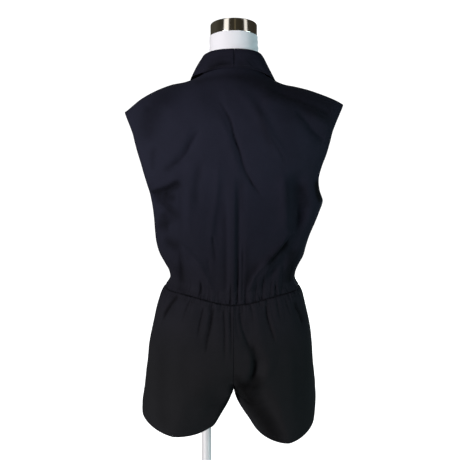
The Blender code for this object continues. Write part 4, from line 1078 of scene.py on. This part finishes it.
def stitch_line(panel, field):
    """Points with their normals along a line of stitching, at its distance from an edge."""
    away = panel.distances[field] - STITCHED[field]
    both = np.concatenate([panel.points, panel.normals], axis=2)
    if field in ALONG_ROWS:
        away, both = away.T, both.swapaxes(0, 1)
    found = []
    for values, line in zip(away, both):
        for i in np.nonzero(values[:-1] * values[1:] <= 0)[0]:
            gap = values[i + 1] - values[i]
            share = 0.5 if abs(gap) < 1e-9 else -values[i] / gap
            found.append(line[i] * (1 - share) + line[i + 1] * share)
    return found


def chains(found, jump=0.012):
    """Splits points into runs whose neighbours are near each other."""
    runs = []
    for point in found:
        for run in runs:
            if np.linalg.norm(run[-1][:3] - point[:3]) < jump:
                run.append(point)
                break
        else:
            runs.append([point])
    return [np.array(run) for run in runs if len(run) > 6]


def stitches_along(run, length):
    """Places, directions and normals of evenly spaced stitches on a run of points."""
    travelled = arc_lengths(run[:, :3], 0)
    count = int(travelled[-1] / length)
    if count < 2:
        return np.zeros((0, 3, 3))
    middles = (np.arange(count) + 0.5) * travelled[-1] / count
    at = read_off(middles, travelled, run)
    along = (read_off(middles + length / 3, travelled, run)
             - read_off(middles - length / 3, travelled, run))
    return np.stack([at[:, :3], along[:, :3], at[:, 3:]], axis=1)


def stitch_mesh(stitches, length, material, radius=0.00026, spokes=5):
    """All the stitches as one mesh: short round threads that dip at both ends."""
    along, out = unit(stitches[:, 1]), unit(stitches[:, 2])
    half = length * 0.40
    # a ring's place along the stitch, its size and how far it stands out in millimetres
    rings = ((-0.75, 0.75, 0.02), (0.0, 1.0, 0.16), (0.75, 0.75, 0.02))
    turns = [2 * math.pi * k / spokes for k in range(spokes)]
    template = np.array([(-half, 0.0, -radius * 0.9)]
                        + [(share * half, math.cos(turn) * radius * size,
                            math.sin(turn) * radius * size + lift * MM)
                           for share, size, lift in rings for turn in turns]
                        + [(half, 0.0, -radius * 0.9)])
    last = len(template) - 1
    faces = []
    for k in range(spokes):
        ahead = (k + 1) % spokes
        faces.append((0, 1 + k, 1 + ahead))
        for low in (1, 1 + spokes):
            faces.append((low + k, low + spokes + k, low + spokes + ahead, low + ahead))
        faces.append((last, last - spokes + ahead, last - spokes + k))
    frames = np.stack([along, np.cross(along, out), out], axis=1)
    points = stitches[:, :1] + template @ frames
    piece = mesh_piece("stitching", points, [[i * len(template) + v for v in face]
                                             for i in range(len(points)) for face in faces],
                       material)
    edited(piece)
    belongs(piece)


# ---- operators -------------------------------------------------------------------------------
class ROMPER_OT_bodice(bpy.types.Operator):
    """Model the back and the two wrap fronts"""
    bl_idname = "romper.bodice"
    bl_label = "Bodice"

    def execute(self, context):
        cloth = context.scene.romper_cloth
        material = black_weave("bodice", BODICE_DYE_AND_LIGHT)
        bodice_back(cloth, material)
        for side in FRONTS:
            bodice_front(side, cloth, material)
        return {"FINISHED"}


class ROMPER_OT_collar(bpy.types.Operator):
    """Model the fold-over collar in its two halves"""
    bl_idname = "romper.collar"
    bl_label = "Collar"

    def execute(self, context):
        for side in COLLARS:
            # the collar's weave, with its colour darkened as a painted shade
            collar(side, context.scene.romper_cloth, black_weave("collar", BODICE_DYE_AND_LIGHT))
        return {"FINISHED"}


class ROMPER_OT_shorts(bpy.types.Operator):
    """Model the four quarters of the shorts"""
    bl_idname = "romper.shorts"
    bl_label = "Shorts"

    def execute(self, context):
        for side, face in LEGS:
            shorts_panel(side, face, context.scene.romper_cloth,
                         black_weave("shorts", SHORTS_DYE_AND_LIGHT))
        return {"FINISHED"}


class ROMPER_OT_seams(bpy.types.Operator):
    """Model the seam allowances behind the seams and the lines of stitching"""
    bl_idname = "romper.seams"
    bl_label = "Seams and stitching"

    def execute(self, context):
        cloth = context.scene.romper_cloth
        if len(PANELS) < len(WALLS):
            raise RuntimeError("the bodice, the collar and the shorts come before their seams")
        bodice, shorts = black_weave("bodice", BODICE_DYE_AND_LIGHT), black_weave("shorts", SHORTS_DYE_AND_LIGHT)
        side_seam = ("first_column", 0, UNDERARM_ROW)
        inseam, centre = ("last_column", CROTCH_ROW), ("last_column", 0, CROTCH_ROW)
        sewn = []
        for side, column, neck in ((-1, "first_column", (0, NECK_COLUMNS[0])),
                                   (1, "last_column", NECK_COLUMNS[1:])):
            sewn += [(BACK, (column, 0, UNDERARM_ROW), FRONTS[side], side_seam, bodice),
                     (BACK, ("last_row", *neck), FRONTS[side], ("last_row",), bodice)]
        for side in COLLARS:
            legs = LEGS[side, -1], LEGS[side, 1]
            sewn += [(legs[0], border, legs[1], border, shorts)
                     for border in (("first_column",), inseam)]
        sewn += [(LEGS[-1, face], centre, LEGS[1, face], centre, shorts) for face in (-1, 1)]
        tapes = [seam_tape(PANELS[a].border(*border_a), PANELS[b].border(*border_b), material)
                 for a, border_a, b, border_b, material in sewn]
        for node in LEGS.values():
            line, normals, inward = PANELS[node].border("first_row")
            tapes.append(seam_tape((line, normals, -inward), (line, normals, inward), shorts,
                                   depth=0.0013))
        tapes.append(seam_tape(*(PANELS[COLLARS[side]].border("first_row") for side in (-1, 1)),
                               bodice, depth=0.0006, reach=0.003))
        choose(*tapes)
        bpy.ops.object.join()
        tapes[0].name = "seam_allowances"
        belongs(tapes[0])
        stitches = [stitches_along(run, cloth.stitch) for panel in PANELS.values()
                    for field in panel.distances for run in chains(stitch_line(panel, field))]
        stitch_mesh(np.concatenate(stitches), cloth.stitch,
                    material_named(sewing_thread, tuple(cloth.thread_colour)))
        return {"FINISHED"}


def form_rings():
    """The form's body as rings of points from its foot to its top, each in order round it."""
    shape = merged_copy("form_body")
    points = np.array([vertex.co for vertex in shape.verts])
    shape.free()
    rings = []
    for level in sorted({round(height, 5) for height in points[:, 2].tolist()}):
        ring = points[np.abs(points[:, 2] - level) < 2e-5]
        middle = ring.mean(axis=0)
        rings.append(ring[np.arctan2(ring[:, 1] - middle[1], ring[:, 0] - middle[0]).argsort()])
    return np.array(rings)


def form_wrinkles(height, turn):
    """How far the jersey's wrinkles stand out at the neck, in millimetres."""
    front = ((0.9, 1.000, 0.00042, 0.0035), (-0.8, 1.008, 0.00042, 0.004),
             (0.7, 1.018, 0.00030, 0.003), (-0.6, 1.026, 0.00026, 0.0035),
             (0.6, 0.990, 0.00036, 0.004))
    back = ((0.5, 1.012, -0.0002, 0.004), (-0.5, 1.020, -0.0002, 0.004),
            (0.4, 0.997, 0.0002, 0.005))
    wrinkles = np.zeros_like(height)
    for rows, middle, seen in ((front, 30, fade(turn, -5, 30)),
                               (back, -60, 1 - fade(turn, -70, -20))):
        for depth, start, lean, width in rows:
            line = start + lean * (turn - middle)
            wrinkles += depth * np.exp(-((height - line) / width) ** 2) * seen
    for place in (-150, -110, -64, -20, 14, 52, 96, 140, 172):
        wrinkles += 0.35 * np.exp(-((turn - place) / 5) ** 2) * fade(height, 1.02, 1.04)
    return wrinkles * fade(height, 0.945, 0.985)


def form_torso(settings, pitch=0.0035):
    """The form's body: smooth rings under a knitted cover that gives way under the cloth."""
    grid = form_rings()
    levels, columns = grid.shape[:2]
    wrapped = np.concatenate([grid[:, -3:], grid, grid[:, :4]], axis=1)
    wide, across = refined(wrapped.transpose(1, 0, 2), pitch)
    wide = wide[(across >= 3) & (across < columns + 3)].transpose(1, 0, 2)
    sharp = np.ones(wide.shape[1])
    fine, _ = refined(wide, pitch, {1: sharp, levels - 2: sharp * 0})
    height = fine[..., 2]
    outward = fine - fine.mean(axis=1, keepdims=True)
    outward[..., 2] = 0
    outward = unit(outward)
    turn = np.degrees(np.arctan2(outward[..., 0], -outward[..., 1]))
    fine = fine + outward * (form_wrinkles(height, turn) * MM)[..., None]
    fine = fine - outward * (GIVE * between(height, *SUNK))[..., None]
    rows, columns = height.shape
    uvs = np.stack([np.broadcast_to(arc_lengths(fine, 1)[rows // 2][None], height.shape),
                    np.broadcast_to(arc_lengths(fine, 0)[:, :1], height.shape)], axis=2)
    faces = grid_faces(rows, columns, closed=True)
    foot, top, last = rows * columns, rows * columns + 1, (rows - 1) * columns
    for c in range(columns):
        ahead = (c + 1) % columns
        faces += [[foot, ahead, c], [top, last + c, last + ahead]]
    piece = mesh_piece("form_torso",
                       np.concatenate([fine.reshape(-1, 3), fine[[0, -1]].mean(axis=1)]), faces,
                       material_named(white_jersey, tuple(settings.jersey_colour)),
                       np.concatenate([uvs.reshape(-1, 2), np.zeros((2, 2))]))
    choose(piece)
    bpy.ops.object.shade_smooth_by_angle(angle=math.radians(50))
    belongs(piece, "form_body")


def turned_piece(name, profile, material, node, centre=(0, 0), segments=128):
    """A round piece turned on a lathe: the profile's (radius, height) points spun about Z."""
    mesh = bpy.data.meshes.new(name)
    piece = put_in_scene(name, mesh)
    mesh.from_pydata([(centre[0] + radius, centre[1], height) for radius, height in profile],
                     [(i, i + 1) for i in range(len(profile) - 1)], [])
    edited(piece, (bpy.ops.mesh.spin, {"steps": segments, "angle": 2 * math.pi,
                                       "center": (*centre, 0), "axis": (0, 0, 1)}),
           (bpy.ops.mesh.remove_doubles, {"threshold": 0.00001}))
    mesh.materials.append(material)
    bpy.ops.object.shade_smooth_by_angle(angle=math.radians(35))
    belongs(piece, node)


def rounded(corner, before, after, radius, steps=5):
    """Points of a small round between two straight runs of a profile."""
    corner, before, after = (np.array(point[:2], float) for point in (corner, before, after))
    a = corner + (before - corner) / np.linalg.norm(before - corner) * radius
    b = corner + (after - corner) / np.linalg.norm(after - corner) * radius
    shares = np.linspace(0, 1, steps)[:, None]
    curve = (1 - shares) ** 2 * a + 2 * shares * (1 - shares) * corner + shares ** 2 * b
    return [tuple(point) for point in curve]


def outline(*corners):
    """A profile through corners of radius and height; a third number is the size of a corner's
    round, and a fourth how many points it has."""
    points = []
    for i, corner in enumerate(corners):
        if len(corner) == 2:
            points.append(corner)
        else:
            points += rounded(corner, corners[i - 1], corners[i + 1], *corner[2:])
    return points


class ROMPER_OT_form(bpy.types.Operator):
    """Model the jersey-covered form, its neck cap, the pole and the base"""
    bl_idname = "romper.form"
    bl_label = "Dress form and stand"

    def execute(self, context):
        settings = context.scene.romper_form
        form_torso(settings)
        chrome = material_named(brushed_chrome, tuple(settings.chrome_colour))
        enamel = material_named(white_enamel, tuple(settings.enamel_colour))
        low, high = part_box("neck_cap")
        radius, crown = (high.x - low.x) / 2, high.z - 0.0016
        profile = outline((0, low.z), (radius, low.z, 0.0012), (radius, crown))[:-1]
        profile += rounded((radius, crown), (radius, low.z), (radius * 0.6, high.z - 0.0006),
                           0.0022, 7)
        profile += [(radius * 0.75, crown + 0.0006), (radius * 0.5, crown + 0.0011),
                    (radius * 0.25, high.z - 0.0001), (0, high.z)]
        turned_piece("chrome_neck_cap", profile, chrome, "neck_cap")

        low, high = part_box("stand_base")
        radius = (high.x - low.x) / 2
        profile = outline((0, low.z), (radius, low.z, 0.0015), (radius, high.z, 0.003, 7),
                          (radius * 0.5, high.z), (0, high.z))
        turned_piece("enamel_base", profile, enamel, "stand_base")

        low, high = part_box("stand_pole")
        flange = (high.x - low.x) / 2
        neck, pole, plate = flange - 0.010, flange - 0.013, 0.006
        lower = ((0, 0), (flange, 0, 0.0008), (flange, plate, 0.0012), (neck, plate, 0.0008),
                 (neck, 0.0085), (pole, 0.013), (pole, 0.1))
        profile = outline(*((corner[0], low.z + corner[1], *corner[2:]) for corner in lower),
                          *((corner[0], high.z - corner[1], *corner[2:])
                            for corner in reversed(lower)))
        turned_piece("enamel_pole", profile, enamel, "stand_pole",
                     ((low.x + high.x) / 2, (low.y + high.y) / 2), 64)
        return {"FINISHED"}


def area_light(name, place, size, power, colour, aim=(0, 0, 0.65)):
    """A soft square light that faces a point."""
    data = bpy.data.lights.new(name, "AREA")
    data.shape = "RECTANGLE"
    data.size = data.size_y = size
    data.energy = power
    data.color = colour
    light = put_in_scene(name, data)
    light.location = place
    light.rotation_euler = (Vector(aim) - Vector(place)).to_track_quat("-Z", "Y").to_euler()
    light.visible_camera = False


def studio_world(room):
    """White surroundings; what shines sees a dim workshop with a few bright windows."""
    world = bpy.data.worlds.new("studio")
    bpy.context.scene.world = world
    n = Nodes(world)
    n.tree.nodes.clear()
    seen = n.add("Background", Color=(1, 1, 1, 1), Strength=1.15).outputs[0]
    white = n.add("Background", Color=(0.93, 0.98, 1, 1), Strength=room).outputs[0]
    way = n.add("SeparateXYZ", Vector=n.add("TexCoord").outputs["Generated"]).outputs
    turn = n.math("ARCTAN2", way["X"], n.math("MULTIPLY", way["Y"], -1))
    share = n.add("MapRange", Value=turn, From_Min=-math.pi, From_Max=math.pi).outputs[0]
    stops = ((-180, (0.06, 0.058, 0.045)), (-100, (0.09, 0.085, 0.07)),
             (-75, (0.05, 0.046, 0.034)), (-50, (0.035, 0.032, 0.024)), (-46, (1.6, 1.6, 1.6)),
             (-27, (1.6, 1.6, 1.6)), (-23, (0.05, 0.045, 0.032)), (2, (0.045, 0.040, 0.028)),
             (6, (0.22, 0.19, 0.12)), (10, (0.05, 0.045, 0.032)), (50, (0.035, 0.030, 0.022)),
             (54, (1.3, 1.3, 1.3)), (66, (1.3, 1.3, 1.3)), (70, (0.05, 0.046, 0.036)),
             (120, (0.04, 0.036, 0.028)), (179, (0.06, 0.058, 0.045)))
    workshop = n.ramp(share, *(((degrees + 180) / 360, colour) for degrees, colour in stops))
    dim = n.add("Background", Color=workshop).outputs[0]
    path = n.add("LightPath").outputs
    shiny = n.add("MixShader", n0=path["Is Glossy Ray"], n1=white, n2=dim).outputs[0]
    last = n.add("MixShader", n0=path["Is Camera Ray"], n1=shiny, n2=seen).outputs[0]
    n.add("OutputWorld", Surface=last)


class ROMPER_OT_stage(bpy.types.Operator):
    """Set up the floor, the lights, the surroundings and the camera"""
    bl_idname = "romper.stage"
    bl_label = "Stage"

    def execute(self, context):
        stage = context.scene.romper_stage
        choose()
        bpy.ops.mesh.primitive_plane_add(size=12, location=(0, 0, -0.0002))
        floor = context.view_layer.objects.active
        floor.name = "pale_floor"
        n = new_material("pale_floor")
        grain = n.ramp(n.noise(n.place(), 6.0, 3.0), (0, (0.93, 0.93, 0.93)),
                       (1, (0.95, 0.95, 0.95)))
        floor.data.materials.append(n.shade(
            Base_Color=grain, Roughness=0.9, Specular_IOR_Level=0.1,
            Emission_Color=(1, 1, 1, 1), Emission_Strength=1.1))
        floor.visible_diffuse = False
        floor.visible_glossy = False
        area_light("key_light", (-1.45, -1.64, 0.72), 0.6, stage.key, (1.0, 0.97, 1.0))
        area_light("fill_light", (2.2, -0.60, 0.40), 0.9, stage.fill, (0.70, 0.95, 1.0))
        area_light("back_light", (0.9, 2.2, 0.7), 1.2, stage.back, (0.9, 1.0, 1.0))
        studio_world(stage.room)
        context.scene.view_settings.view_transform = "Standard"
        data = bpy.data.cameras.new("camera")
        data.sensor_width = 36.0
        data.lens = 34.5913
        camera = put_in_scene("camera", data)
        camera.location = (-0.0075, -0.95, 0.77)
        camera.rotation_euler = (math.radians(90 - 7.35), 0, 0)
        context.scene.camera = camera
        return {"FINISHED"}


class ROMPER_PT_sidebar(bpy.types.Panel):
    """The romper's pieces, in the order in which they are made"""
    bl_idname = "ROMPER_PT_sidebar"
    bl_label = "Romper"
    bl_space_type = "VIEW_3D"
    bl_region_type = "UI"
    bl_category = "Romper"

    def draw(self, context):
        for operator in OPERATORS:
            self.layout.operator(operator.bl_idname)
        for name in GROUPS:
            group = getattr(context.scene, name)
            box = self.layout.box()
            for value in group.bl_rna.properties:
                if value.identifier not in ("rna_type", "name"):
                    box.prop(group, value.identifier)


OPERATORS = (ROMPER_OT_bodice, ROMPER_OT_collar, ROMPER_OT_shorts, ROMPER_OT_seams,
             ROMPER_OT_form, ROMPER_OT_stage)
GROUPS = {"romper_cloth": ClothSettings, "romper_form": FormSettings,
          "romper_stage": StageSettings}


def register():
    """Adds the settings, the operators and the sidebar."""
    for kind in (*GROUPS.values(), *OPERATORS, ROMPER_PT_sidebar):
        bpy.utils.register_class(kind)
    for name, group in GROUPS.items():
        setattr(bpy.types.Scene, name, PointerProperty(type=group))


def unregister():
    """Takes them away again."""
    for name in GROUPS:
        delattr(bpy.types.Scene, name)
    for kind in (ROMPER_PT_sidebar, *reversed(OPERATORS), *GROUPS.values()):
        bpy.utils.unregister_class(kind)


def main():
    """Makes every piece and the stage."""
    register()
    bpy.ops.romper.bodice()
    bpy.ops.romper.collar()
    bpy.ops.romper.shorts()
    bpy.ops.romper.seams()
    bpy.ops.romper.form()
    bpy.ops.romper.stage()


if __name__ == "__main__":
    main()
